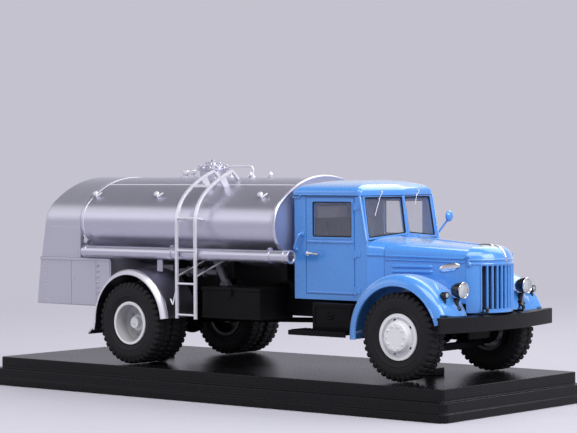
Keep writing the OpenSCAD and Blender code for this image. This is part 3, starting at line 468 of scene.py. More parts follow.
class Form:
    """Faces of a piece, in millimetres of the lorry."""

    def __init__(self, mesh=None):
        self.bm = bmesh.new()
        if mesh:
            self.bm.from_mesh(mesh)

    def plus(self, *others):
        for other in others:
            mesh = bpy.data.meshes.new("joined")
            other.bm.to_mesh(mesh)
            self.bm.from_mesh(mesh)
            bpy.data.meshes.remove(mesh)
            other.bm.free()
        return self

    def moved(self, place):
        bmesh.ops.transform(self.bm, matrix=place, verts=self.bm.verts)
        return self

    def outward(self):
        bmesh.ops.recalc_face_normals(self.bm, faces=self.bm.faces)
        return self

    def merged(self, gap=0.002):
        """Joins doubled points and turns the faces outward."""
        bmesh.ops.remove_doubles(self.bm, verts=self.bm.verts, dist=gap)
        return self.outward()

    def copied(self):
        mesh = bpy.data.meshes.new("copied")
        self.bm.to_mesh(mesh)
        made = Form(mesh)
        bpy.data.meshes.remove(mesh)
        return made

    def both(self):
        """Adds the same on the other side of the lorry."""
        other = self.copied()
        bmesh.ops.transform(other.bm, matrix=Matrix.Scale(-1, 4, (0, 1, 0)), verts=other.bm.verts)
        bmesh.ops.reverse_faces(other.bm, faces=other.bm.faces)
        return self.plus(other)

    def bevel(self, size=None, angle=30.0, segments=2):
        """Rounds the edges that turn by more than an angle."""
        size = detail().edge_round / MM if size is None else size
        edges = [e for e in self.bm.edges if len(e.link_faces) == 2 and e.calc_face_angle(0.0) > radians(angle)]
        bmesh.ops.bevel(self.bm, geom=edges, offset=size, offset_type="OFFSET", segments=segments, profile=0.5,
                        affect="EDGES", clamp_overlap=False, loop_slide=True)
        return self

    def thicken(self, size):
        """Gives an open sheet its thickness, inward from the drawn face."""
        obj = scratch(self)
        made = obj.modifiers.new("wall", "SOLIDIFY")
        made.thickness, made.offset, made.use_even_offset = size, -1, True
        return Form(settled(obj))


def linked(name, data):
    """Object of some data, put into the scene."""
    obj = bpy.data.objects.new(name, data)
    bpy.context.scene.collection.objects.link(obj)
    return obj


def scratch(form, name="scratch"):
    """Object of a form, which ends with it."""
    mesh = bpy.data.meshes.new(name)
    form.bm.to_mesh(mesh)
    form.bm.free()
    return linked(name, mesh)


def settled(obj, keep=False):
    """Plain mesh of an object with its modifiers, and the object's end."""
    graph = bpy.context.evaluated_depsgraph_get()
    mesh = bpy.data.meshes.new_from_object(obj.evaluated_get(graph), depsgraph=graph)
    if not keep:
        bpy.data.objects.remove(obj)
    return mesh


def loft(rings, closed=True, caps=True):
    """Skin through rings with the same number of points."""
    form = Form()
    rows = [[form.bm.verts.new(p) for p in ring] for ring in rings]
    count = len(rows[0])
    for a, b in zip(rows, rows[1:]):
        for i in range(count if closed else count - 1):
            j = (i + 1) % count
            form.bm.faces.new((a[i], a[j], b[j], b[i]))
    if caps:
        form.bm.faces.new(rows[0])
        form.bm.faces.new(rows[-1])
    return form.outward()


# How a point of a flat outline and a height along an axis make a point in space.
SPREAD = {"x": lambda p, t: (t, *p), "y": lambda p, t: (p[0], t, p[1]), "z": lambda p, t: (*p, t)}


def prism(outline, axis, lo, hi):
    """Outline drawn in the two other axes, pulled along one axis."""
    return loft([[SPREAD[axis](p, t) for p in outline] for t in (lo, hi)])


def border(outer, inner, axis, lo, hi):
    """Frame between two outlines with the same number of points."""
    rings = [[SPREAD[axis](p, t) for p in line] for line, t in ((outer, lo), (outer, hi), (inner, hi), (inner, lo))]
    return loft(rings + rings[:1], caps=False).merged()


def box(a, b, edge=0.0):
    """Block between two corners, with its edges rounded."""
    form = prism([(a[0], a[1]), (b[0], a[1]), (b[0], b[1]), (a[0], b[1])], "z", a[2], b[2])
    return form.bevel(edge) if edge else form


def turned(profile, steps, spot=(0, 0, 0), axis=UP, closed=False):
    """Profile of (radius, height) turned round an axis through a spot."""
    form = Form()
    rows = []
    for r, h in profile:
        if r < 1e-5:
            rows.append([form.bm.verts.new((0, 0, h))] * steps)
        else:
            rows.append([form.bm.verts.new((r * cos(t), r * sin(t), h))
                         for t in (2 * pi * i / steps for i in range(steps))])
    for a, b in zip(rows, rows[1:] + rows[:closed]):
        for i in range(steps):
            corners = []
            for v in (a[i], a[(i + 1) % steps], b[(i + 1) % steps], b[i]):
                if v not in corners:
                    corners.append(v)
            if len(corners) > 2:
                form.bm.faces.new(corners)
    return form.outward().moved(place_at(spot, axis))


def place_at(spot, axis=UP):
    """Place whose z axis points a given way."""
    turn = Vector(UP).rotation_difference(Vector(axis)).to_matrix().to_4x4()
    return Matrix.Translation(spot) @ turn


def evenly(first, last, steps):
    """Even values from first to last."""
    return [first + (last - first) * i / steps for i in range(steps + 1)]


def arc(cx, cy, r, angles):
    """Points of a circle at angles in degrees."""
    return [(cx + r * cos(radians(a)), cy + r * sin(radians(a))) for a in angles]


def rounded(x0, y0, x1, y1, r, steps=6):
    """Rounded rectangle as points."""
    corners = ((x1 - r, y1 - r, 0), (x0 + r, y1 - r, 90), (x0 + r, y0 + r, 180), (x1 - r, y0 + r, 270))
    return [p for cx, cy, a in corners for p in arc(cx, cy, r, evenly(a, a + 90, steps))]


def soft_corners(corners, cut, steps=4):
    """Outline through corners, each rounded off by a cut."""
    points = []
    for i, c in enumerate(corners):
        c, a, b = (Vector(q) for q in (c, corners[i - 1], corners[(i + 1) % len(corners)]))
        a, b = c + (a - c).normalized() * cut, c + (b - c).normalized() * cut
        for t in (k / steps for k in range(steps + 1)):
            points.append(tuple(a * (1 - t) ** 2 + c * (2 * t * (1 - t)) + b * t * t))
    return points


def dense(points, most):
    """Closed outline with points put into its long sides."""
    made = []
    for a, b in zip(points, points[1:] + points[:1]):
        a, b = Vector(a), Vector(b)
        count = max(1, ceil((b - a).length / most))
        made += [tuple(a.lerp(b, k / count)) for k in range(count)]
    return made


def cad(node, flat=0.4):
    """Copy of a solid, merged, with its flat faces made whole."""
    form = Form(frame["nodes"][node].data)
    form.moved(TO_LORRY)
    bmesh.ops.remove_doubles(form.bm, verts=form.bm.verts, dist=0.002)
    bmesh.ops.dissolve_limit(form.bm, angle_limit=radians(flat), use_dissolve_boundaries=False, verts=form.bm.verts,
                             edges=form.bm.edges)
    return form


def new_tree(name, inputs):
    """Geometry tree with named inputs and its kit."""
    tree = bpy.data.node_groups.new(name, "GeometryNodeTree")
    tree.interface.new_socket("Geometry", in_out="INPUT", socket_type="NodeSocketGeometry")
    for label, kind in inputs:
        tree.interface.new_socket(label, in_out="INPUT", socket_type="NodeSocket" + kind)
    tree.interface.new_socket("Geometry", in_out="OUTPUT", socket_type="NodeSocketGeometry")
    kit = NodeKit(tree)
    return kit, kit.node("NodeGroupInput").outputs


def close_tree(kit, instances, material):
    real = kit.node("GeometryNodeRealizeInstances", None, {"Geometry": instances})
    done = kit.node("GeometryNodeSetMaterial", None, {"Geometry": real.outputs[0], "Material": material})
    kit.node("NodeGroupOutput", None, {"Geometry": done.outputs[0]})
    return kit.tree


def ring_tree():
    """Shapes on an arc round the z axis, each turned with the arc."""
    kit, given = new_tree("Ring of parts", [("Shape", "Object"), ("Count", "Int"), ("Radius", "Float"),
                                            ("Start", "Float"), ("Step", "Float"), ("Finish", "Material")])
    index = kit.value("GeometryNodeInputIndex")
    angle = Val(kit, given["Start"]) + index * Val(kit, given["Step"])
    radius = Val(kit, given["Radius"])
    spot = kit.node("ShaderNodeCombineXYZ", None, {0: radius * angle.wave("COSINE"),
                                                   1: radius * angle.wave("SINE")})
    turn = kit.node("ShaderNodeCombineXYZ", None, {2: angle})
    points = kit.node("GeometryNodePoints", None, {"Count": given["Count"], "Position": spot.outputs[0]})
    shape = kit.node("GeometryNodeObjectInfo", None, {"Object": given["Shape"]})
    copies = kit.node("GeometryNodeInstanceOnPoints", None, {"Points": points.outputs[0],
                                                             "Instance": shape.outputs["Geometry"],
                                                             "Rotation": turn.outputs[0]})
    return close_tree(kit, copies.outputs[0], given["Finish"])


def row_tree():
    """Shapes on a straight row."""
    kit, given = new_tree("Row of parts", [("Shape", "Object"), ("Count", "Int"), ("First", "Vector"),
                                           ("Step", "Vector"), ("Finish", "Material")])
    line = kit.node("GeometryNodeMeshLine", {"mode": "OFFSET"},
                    {"Count": given["Count"], "Start Location": given["First"], "Offset": given["Step"]})
    shape = kit.node("GeometryNodeObjectInfo", None, {"Object": given["Shape"]})
    copies = kit.node("GeometryNodeInstanceOnPoints", None, {"Points": line.outputs[0],
                                                             "Instance": shape.outputs["Geometry"]})
    return close_tree(kit, copies.outputs[0], given["Finish"])


def wire_tree():
    """Round bar along the drawn path, with its corners bent."""
    kit, given = new_tree("Bar on a path", [("Radius", "Float"), ("Sides", "Int"), ("Bend", "Float"),
                                            ("Finish", "Material")])
    path = kit.node("GeometryNodeMeshToCurve", None, {"Mesh": given["Geometry"]})
    bent = kit.node("GeometryNodeFilletCurve", {"mode": "POLY"},
                    {"Curve": path.outputs[0], "Radius": given["Bend"], "Count": 6, "Limit Radius": True})
    round_bar = kit.node("GeometryNodeCurvePrimitiveCircle", None,
                         {"Resolution": given["Sides"], "Radius": given["Radius"]})
    bar = kit.node("GeometryNodeCurveToMesh", None, {"Curve": bent.outputs[0],
                                                     "Profile Curve": round_bar.outputs[0], "Fill Caps": True})
    return close_tree(kit, bar.outputs[0], given["Finish"])


TREES = {}


def grow(maker, base, **given):
    """Runs a geometry tree on a base mesh and gives the result as a form."""
    if maker not in TREES:
        TREES[maker] = maker()
    tree = TREES[maker]
    obj = linked("grown", base or bpy.data.meshes.new("seed"))
    made = obj.modifiers.new(tree.name, "NODES")
    made.node_group = tree
    for item in tree.interface.items_tree:
        if item.in_out == "INPUT" and item.name in given:
            made[item.identifier] = given[item.name]
    return Form(settled(obj))


def ring_of(shape, count, radius, material, start=0.0, step=None, place=None):
    """A shape repeated round the z axis of a place, by a full turn or by steps."""
    obj = scratch(shape, "part")
    form = grow(ring_tree, None, Shape=obj, Count=count, Radius=float(radius), Start=float(start),
                Step=float(2 * pi / count if step is None else step), Finish=finish(material))
    bpy.data.objects.remove(obj)
    return form.moved(place) if place else form


def row_of(shape, count, first, step, material):
    """A shape repeated along a row."""
    obj = scratch(shape, "part")
    form = grow(row_tree, None, Shape=obj, Count=count, First=tuple(map(float, first)),
                Step=tuple(map(float, step)), Finish=finish(material))
    bpy.data.objects.remove(obj)
    return form


def wire(points, radius, material, bend=0.0, sides=12, loop=False):
    """Round bar through points."""
    mesh = bpy.data.meshes.new("path")
    links = [(i, i + 1) for i in range(len(points) - 1)] + ([(len(points) - 1, 0)] if loop else [])
    mesh.from_pydata([tuple(p) for p in points], links, [])
    return grow(wire_tree, mesh, Radius=float(radius), Sides=sides, Bend=float(bend),
                Finish=finish(material)).outward()


def piece(name, form, material, slot=None, body="model", stands_for=(), smooth=32.0):
    """Puts a finished form into the scene on its body; its slot argument is not used."""
    slot = slot or material
    form.moved(TO_ROW)
    obj = scratch(form, name)
    obj.data.materials.clear()
    obj.data.materials.append(finish(material))
    obj.data.polygons.foreach_set("material_index", [0] * len(obj.data.polygons))
    obj.data.shade_smooth()
    obj.data.set_sharp_from_angle(angle=radians(smooth))
    even = obj.modifiers.new("even", "WEIGHTED_NORMAL")
    even.keep_sharp = True
    mesh = settled(obj, keep=True)
    obj.modifiers.clear()
    obj.data = mesh
    mesh.name = name
    if not mesh.polygons:
        raise RuntimeError(name + " has no faces")
    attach(obj, body)
    if stands_for:
        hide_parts(*stands_for)
    return obj


def repaint(node, material):
    """Gives a solid that stays its finish."""
    slots = frame["nodes"][node].data.materials
    slots.clear()
    slots.append(finish(material))


def rivet(axis, radius=None):
    """Rivet head on the origin that points a given way."""
    r = radius or detail().rivet_radius / MM
    return turned([(r, -0.1), (r, 0.25 * r), (0.7 * r, 0.6 * r), (0, 0.72 * r)], 8, axis=axis)


def hex_nut(r, h):
    return turned([(r, -0.15), (r, 0.75 * h), (0.78 * r, h), (0, h)], 6)


def bead(points, radius, bend=0.0):
    """Thin moulding in the cab's paint."""
    return wire(points, radius, "cab_blue", bend, 8)


def arch(half, crease, top, power=2.6, steps=48):
    """Arched outline from the left foot over the top to the right foot."""
    points = [(half, FLOOR_Z)]
    for a in evenly(0, pi, steps):
        c, s = cos(a), sin(a)
        points.append((copysign(half * abs(c) ** (2 / power), c), crease + (top - crease) * abs(s) ** (2 / power)))
    return points + [(-half, FLOOR_Z)]


def arch_shell(xs, outer, inner):
    """Hollow skin between outer and inner arches that stand at given x."""
    return loft([[(x, *p) for p in o + i[::-1]] for x, o, i in zip(xs, outer, inner)])


def oval(grow_by=0.0, steps=32):
    """Tank section as points (y, z)."""
    points = []
    arcs = [(TANK_C, 0, TANK_SIDE, -TANK_TURN, TANK_TURN), (0, -TANK_K, TANK_BIG, TANK_TURN, pi - TANK_TURN),
            (-TANK_C, 0, TANK_SIDE, pi - TANK_TURN, pi + TANK_TURN),
            (0, TANK_K, TANK_BIG, pi + TANK_TURN, 2 * pi - TANK_TURN)]
    for cy, cz, r, a0, a1 in arcs:
        for a in evenly(a0, a1, steps)[:-1]:
            points.append((cy + (r + grow_by) * cos(a), TANK_Z + cz + (r + grow_by) * sin(a)))
    return points


def on_tank(z):
    """Point (y, z) on the right upper side of the tank and its outward direction."""
    if z < TANK_Z + TANK_SIDE * sin(TANK_TURN):
        cy, cz, r = TANK_C, TANK_Z, TANK_SIDE
    else:
        cy, cz, r = 0.0, TANK_Z - TANK_K, TANK_BIG
    a = asin((z - cz) / r)
    return (-cy - r * cos(a), z), (-cos(a), sin(a))


class MakePlinth(bpy.types.Operator):
    """Black display plinth with its ledges and the moulded posts"""

    bl_idname = "tanker.plinth"
    bl_label = "Plinth"

    def execute(self, context):
        piece("plinth_moulding", cad("plinth").bevel(0.3, segments=3), "plinth_black", stands_for=["plinth"])
        piece("plinth_stand", cad("plinth_posts").bevel(0.2), "plinth_black", stands_for=["plinth_posts"])
        return {"FINISHED"}


class MakeChassis(bpy.types.Operator):
    """Frame rails with rivets, axles, springs and driveline"""

    bl_idname = "tanker.chassis"
    bl_label = "Chassis"

    def execute(self, context):
        rails = cad("frame_rails").bevel()
        lo, hi = reach("frame_rails")
        heads = Form()
        for z in (lo.z + 1.3, hi.z - 1.3):
            row = row_of(rivet(RIGHT), 34, (lo.x + 6, lo.y, z), (4.6, 0, 0), "chassis_black")
            heads.plus(row)
        piece("frame_rails_riveted", rails.plus(heads.both()), "chassis_black", stands_for=["frame_rails"])
        piece("frame_crossing", cad("cross_members").bevel(0.2), "chassis_black", stands_for=["cross_members"])
        springs = Form()
        for x, y, z, span, rise, width in ((0, -8.9, WHEEL_Z - 3.28, 12.6, 6.48, 1.8),
                                           (REAR_X, -12, WHEEL_Z + 2.02, 14.5, 3.4, 1.8)):
            r = (span ** 2 + rise ** 2) / (2 * rise)
            sweep = degrees(asin(span / r))
            for leaf, share in enumerate((1.0, 0.82, 0.62, 0.42)):
                mid = r - 1.14 + 0.32 * leaf
                rings = [[(px, y + sy * width / 2, pz + sz * 0.145)
                          for sy, sz in ((-1, -1), (1, -1), (1, 1), (-1, 1))]
                         for px, pz in arc(x, z + r, mid, evenly(270 - sweep * share, 270 + sweep * share, 24))]
                springs.plus(loft(rings))
            for s in (-1.7, 1.7):
                springs.plus(wire([(x + s, y - 1.1, z - 0.7), (x + s, y - 1.1, z + 1.8), (x + s, y + 1.1, z + 1.8),
                                   (x + s, y + 1.1, z - 0.7)], 0.24, "chassis_black", 0.5, 8))
            springs.plus(box((x - 2.2, y - 1.4, z + 1.4), (x + 2.2, y + 1.4, z + 1.75), 0.1))
        for s in (-1, 1):
            springs.plus(box((s * 11.6 - 0.9, -9.8, 14.7), (s * 11.6 + 0.9, -8, 16.55), 0.15))
            springs.plus(box((REAR_X + s * 13.5 - 0.9, -12.9, WHEEL_Z + 3.6),
                             (REAR_X + s * 13.5 + 0.9, -10.05, WHEEL_Z + 6), 0.15))
        piece("leaf_packs", springs.both(), "chassis_black", stands_for=["leaf_springs"])
        piece("front_axle_beam", cad("front_axle").bevel(0.2, 50), "chassis_black", stands_for=["front_axle"])
        case = turned([(0, 4.6), (1.6, 4.6), (1.9, 4.9), (2.6, 4.2), (3.6, 3.3), (3.7, 2.9)], 32,
                      (REAR_X, 0, WHEEL_Z), BACKWARD)
        bolts = ring_of(hex_nut(0.32, 0.3), 10, 3.2, "chassis_black",
                        place=place_at((REAR_X - 3.55, 0, WHEEL_Z), BACKWARD))
        piece("rear_axle_case", cad("rear_axle").plus(case, bolts), "chassis_black", stands_for=["rear_axle"])
        joints = Form()
        for x in (-23.4, REAR_X + 6.6):
            joints.plus(turned([(0, -1.2), (1.25, -1.2), (1.4, -1), (1.4, 1), (1.25, 1.2), (0, 1.2)], 20,
                               (x, 0, WHEEL_Z + 2.4 * (x - REAR_X - 5.7) / 83.6), FORWARD))
        ribs = row_of(box((-0.2, -5.6, 12.2), (0.2, 5.6, 16.2), 0.1), 7, (-8.5, 0, 0), (2.8, 0, 0), "chassis_black")
        piece("driveline_block", cad("driveline").bevel(0.5).plus(joints, ribs), "chassis_black",
              stands_for=["driveline"])
        return {"FINISHED"}


class MakeSideBoxes(bpy.types.Operator):
    """Boxes below the frame and the running boards"""

    bl_idname = "tanker.side_boxes"
    bl_label = "Side boxes and steps"

    def execute(self, context):
        boxes = cad("side_boxes").bevel(0.3, segments=3)
        lo, hi = REAR_X + 26.6, REAR_X + 50.6
        lids = Form()
        lids.plus(box((lo - 0.15, -24.2, 24.4), (hi + 0.15, -10.4, 25.5), 0.2))
        lids.plus(box((lo - 0.15, -24.2, 15.7), (hi + 0.15, -10.4, 16.6), 0.2))
        lids.plus(box((lo, -10.6, 15.8), (hi + 0.1, -8.3, 25.3), 0.2))
        x = (lo + hi) / 2
        lids.plus(box((x - 0.8, -24.6, 22.9), (x + 0.8, -23.9, 25.0), 0.15))
        lids.plus(turned([(0, -0.7), (0.35, -0.7), (0.35, 0.7), (0, 0.7)], 12, (x, -24.5, 24.8), FORWARD))
        lids.plus(border(rounded(-34.9, 14.5, -20.6, 21.2, 0.7), rounded(-34.3, 15.1, -21.2, 20.6, 0.5), "y",
                         -21.75, -21.4).bevel(0.08))
        lids.plus(turned([(1.3, 0), (1.3, 0.3), (1.05, 0.5), (0.95, 0.35), (0.5, 0.35), (0.42, 0.6), (0, 0.65)], 28,
                         (-28.4, -21.4, 18.2), RIGHT))
        lids.plus(row_of(rivet(RIGHT, 0.22), 6, (-34.2, -21.72, 14.8), (2.6, 0, 0), "chassis_black"))
        piece("side_box_pair", boxes.plus(lids.both()), "chassis_black", stands_for=["side_boxes"])
        steps = cad("cab_steps").bevel(0.2)
        treads = row_of(box((-0.28, -24.7, 13.5), (0.28, -17.8, 13.78), 0.08), 15, (-41, 0, 0), (1.45, 0, 0),
                        "chassis_black")
        for x in (-38.4, -23.2):
            treads.plus(wire([(x, -17.4, 13.2), (x, -12.4, 16.4), (x, -10.1, 17.4)], 0.5, "chassis_black", 1.5, 10))
        piece("cab_running_boards", steps.plus(treads.both()), "chassis_black", stands_for=["cab_steps"])
        return {"FINISHED"}


class MakeBumper(bpy.types.Operator):
    """Curved bumper and tow hooks"""

    bl_idname = "tanker.bumper"
    bl_label = "Bumper"

    def execute(self, context):
        half, low, high, bow = 28.4, 15.0, 19.6, 140.0
        rings = []
        for k in range(33):
            y = half * (k / 16 - 1)
            middle = 1 - (y / half) ** 2
            front = 20.6 - bow + sqrt(bow * bow - y * y)
            back, top, foot = front - 1.3 - 1.5 * middle, high - 0.45 * middle, low - 0.2 * middle
            section = [(back, high), (front - 0.3, top), (front - 0.09, top - 0.09), (front, top - 0.3),
                       (front, foot + 0.3), (front - 0.09, foot + 0.09), (front - 0.3, foot), (back, low),
                       (back, low + 0.7), (front - 0.9, foot + 0.8), (front - 0.9, top - 0.8), (back, high - 0.7)]
            rings.append([(x, y, z) for x, z in section])
        piece("bumper_bar", loft(rings), "bumper_black", "chassis_black", stands_for=["bumper"])
        piece("tow_hook_pair", cad("tow_hooks").bevel(0.1), "lamp_black", "chassis_black", stands_for=["tow_hooks"])
        return {"FINISHED"}


def screen_place(side):
    """Place of a windscreen half: x out of the glass, y outward, z up it."""
    lean = Matrix.Rotation(-SCREEN_LEAN, 4, "Y")
    place = Matrix.Translation((SCREEN_X, 0, SILL_Z)) @ Matrix.Rotation(SCREEN_SWEEP, 4, "Z") @ lean
    return Matrix.Scale(side, 4, (0, 1, 0)) @ place


def pane_outline(g):
    """Windscreen half (outward, up), shrunk by g; its foot falls outward."""
    inside, outside, foot, top = 0.8 + g, 16.35 - g, 1 + g, 11.9 - g
    return soft_corners([(inside, foot), (outside, foot - 1.2), (outside, top), (inside, top)], 0.45)


class MakeCabShell(bpy.types.Operator):
    """Cab walls with doors, scuttle and windscreen frame"""

    bl_idname = "tanker.cab_shell"
    bl_label = "Cab shell"

    def execute(self, context):
        for side in ("right", "left"):
            node = "cab_side_" + side
            piece("cab_wall_" + side, cad(node).bevel(0.1), "cab_blue", stands_for=[node])
        back = cad("cab_back").bevel(0.15)
        ribs = row_of(box((CAB_BACK - 0.3, -13, -0.4), (CAB_BACK + 0.2, 13, 0.4), 0.25), 3, (0, 0, 28), (0, 0, 4.2),
                      "cab_blue")
        piece("cab_rear_wall", back.plus(ribs), "cab_blue", stands_for=["cab_back"])

        outer = arch(CAB_HALF, CREASE_Z + 1.7, SILL_Z + 0.4), arch(BONNET_REAR, CREASE_Z + 1.3, SILL_Z - 0.3)
        inner = (arch(CAB_HALF - 1.1, CREASE_Z + 1.5, SILL_Z - 0.6),
                 arch(BONNET_REAR - 1.1, CREASE_Z + 1.1, SILL_Z - 1.2))
        scuttle = arch_shell((SCUTTLE_X, BONNET_X - 0.08), outer, inner)
        wall = box((-18.2, -CAB_IN, FLOOR_Z), (SCUTTLE_X + 0.6, CAB_IN, SILL_Z - 2.4))
        screen = Form()
        for side in (1, -1):
            low, high = ((CAB_IN + SCREEN_DRIFT * v) / SCREEN_COS for v in (SCREEN_FOOT, SCREEN_HEAD))
            edge = [(-0.1, SCREEN_FOOT), (low, SCREEN_FOOT), (high, SCREEN_HEAD), (-0.1, SCREEN_HEAD)]
            frame_half = border([c for c in edge for _ in range(5)], pane_outline(0), "x", 0.0, 1.0)
            lip = border(pane_outline(-0.7), pane_outline(-0.12), "x", 0.9, 1.32)
            both_parts = frame_half.plus(lip.bevel(0.12)).moved(screen_place(side))
            if side < 0:
                bmesh.ops.reverse_faces(both_parts.bm, faces=both_parts.bm.faces)
            screen.plus(both_parts)
        screen.plus(bead([screen_place(1) @ Vector((1.05, 0, -1.6)), screen_place(1) @ Vector((1.05, 0, 12.4))],
                         0.45))
        trim = bead([(-17.0, -17.95, CREASE_Z + 0.6), (-12.1, -16.25, CREASE_Z + 0.5)], 0.34).both()
        trim.plus(bead([(-17.3, -CAB_HALF, SILL_Z - 1.2), (-19.85, -CAB_HALF, EAVE_Z)], 0.32).both())
        vent = border(rounded(-15.3, -3.4, -13.1, 3.4, 0.5), rounded(-14.95, -3.05, -13.45, 3.05, 0.35), "z",
                      SILL_Z - 0.5, SILL_Z + 0.38).bevel(0.08)
        vent.plus(box((-14.9, -3, SILL_Z - 0.4), (-13.5, 3, SILL_Z + 0.22), 0.1))
        piece("cab_scuttle_and_screen", scuttle.plus(wall, screen, trim, vent), "cab_blue",
              stands_for=["cab_front"])
        return {"FINISHED"}


def roof_plan(g):
    """Roof outline (x, y) shrunk by g; its front follows the windscreen's sweep."""
    h, back, corner, front, r = CAB_HALF + 0.35 - g, CAB_BACK - 0.6 + g, -19.6 - g, -17.1 - g, 1.3
    half = arc(back + r, r - h, r, range(180, 271, 15))
    half += [(corner - 1.8 * (1 - t) ** 2 + 0.25 * t * t, -h + 1.8 * t * t) for t in evenly(0, 1, 6)]
    half += [(front - 0.08, -1.4), (front - 0.02, -0.6)]
    return dense(half + [(x, -y) for x, y in half[::-1]], 1.6)


class MakeCabRoof(bpy.types.Operator):
    """Domed roof with its drip gutter"""

    bl_idname = "tanker.cab_roof"
    bl_label = "Cab roof"

    def execute(self, context):
        rise = (ROOF_TOP - EAVE_Z - 1) / sin(radians(80)) ** (2 / 2.1)
        mid = (CAB_BACK - 17.1) / 2
        plan = roof_plan(0)
        rings = [[(x, y, EAVE_Z + 0.05) for x, y in plan], [(x, y, EAVE_Z + 0.9) for x, y in plan]]
        for t in range(0, 81, 5):
            share, lift = (abs(f(radians(t))) ** (2 / 2.1) for f in (cos, sin))
            rings.append([(mid + share * (x - mid), share * y, EAVE_Z + 1 + rise * lift) for x, y in plan])
        roof = loft(rings)
        gutter = bead([(-45.7, -CAB_HALF - 0.25, EAVE_Z - 0.55), (-43.2, -CAB_HALF - 0.25, EAVE_Z - 0.55),
                       (-42.4, -CAB_HALF - 0.3, EAVE_Z + 0.25), (-21.2, -CAB_HALF - 0.3, EAVE_Z + 0.25)], 0.26,
                      bend=0.5).both()
        piece("cab_roof_dome", roof.plus(gutter), "cab_blue", stands_for=["cab_roof"], smooth=50)
        return {"FINISHED"}


# Wiper arm and blade of each windscreen half, as (outward, up) on its glass.
WIPERS = {1: (((9.1, 13.8), (7.9, 12.2)), ((8.2, 12.7), (6.2, 9.5))),
          -1: (((9.4, 13.5), (10.9, 11.3)), ((10.2, 11.9), (13.2, 6.3)))}


class MakeGlazing(bpy.types.Operator):
    """Panes, rubber seal strips, a dark strip painted as the shadow under the roof's edge, and wipers"""

    bl_idname = "tanker.glazing"
    bl_label = "Glazing"

    def execute(self, context):
        panes, seals_and_shadow_strip, wipers = Form(), Form(), Form()
        for side in (1, -1):
            place = screen_place(side)
            panes.plus(prism(pane_outline(0.02), "x", 0.35, 0.75).moved(place).outward())
            line = [place @ Vector((1.0, *p)) for p in pane_outline(0.05)]
            seals_and_shadow_strip.plus(wire(line, 0.2, "seal_black", sides=8, loop=True))
            foot = [(0.95, 0.0, 0.12), (0.95, 17.0, -1.1), (0.95, 17.18, -1.0), (0.95, 17.38, 12.5)]
            seals_and_shadow_strip.plus(wire([place @ Vector(p) for p in foot], 0.15, "seal_black", sides=8))
            ((u0, v0), (u1, v1)), blade = WIPERS[side]
            path = [(1.5, u0, v0), (2.15, u0, v0), (2.0, u0 + (u1 - u0) * 0.3, v0 + (v1 - v0) * 0.3),
                    (1.55, u1, v1)]
            wipers.plus(wire([place @ Vector(p) for p in path], 0.08, "rail_silver", 0.3, 8))
            wipers.plus(wire([place @ Vector((1.5, *q)) for q in blade], 0.09, "rail_silver", sides=8))
            wipers.plus(turned([(0.32, -0.4), (0.32, 0.2), (0.2, 0.4), (0, 0.45)], 14,
                               place @ Vector((1.6, u0, v0)), (1, 0, 0.2)))
        sides = prism(rounded(-38.08, SILL_Z + 0.02, -22.92, EAVE_Z - 1.82, 0.48), "y", 0.3 - CAB_HALF,
                      0.7 - CAB_HALF)
        panes.plus(sides.both())
        panes.plus(prism(rounded(-7.98, SILL_Z + 1.02, 7.98, SILL_Z + 9.38, 1.38), "x", CAB_BACK + 0.3,
                         CAB_BACK + 0.7))
        rim = [(x, -CAB_HALF + 0.12, z) for x, z in rounded(-38.0, SILL_Z + 0.1, -23.0, EAVE_Z - 1.9, 0.45)]
        seals_and_shadow_strip.plus(wire(rim, 0.24, "seal_black", sides=8, loop=True).both())
        rim = [(CAB_BACK + 0.1, y, z) for y, z in rounded(-7.9, SILL_Z + 1.1, 7.9, SILL_Z + 9.3, 1.3)]
        seals_and_shadow_strip.plus(wire(rim, 0.24, "seal_black", sides=8, loop=True))
        piece("cab_panes", panes, "cab_clear", stands_for=["cab_glass"])
        # Dark strip along the roof's edge: painted shadow under the roof's rim.
        seals_and_shadow_strip.plus(wire([(x, y, EAVE_Z - 0.02) for x, y in roof_plan(0.14)], 0.16, "seal_black", sides=8,
                        loop=True))
        piece("cab_seals", seals_and_shadow_strip, "seal_black", "cab_interior")
        piece("cab_wipers", wipers, "rail_silver", "bright_trim")
        return {"FINISHED"}


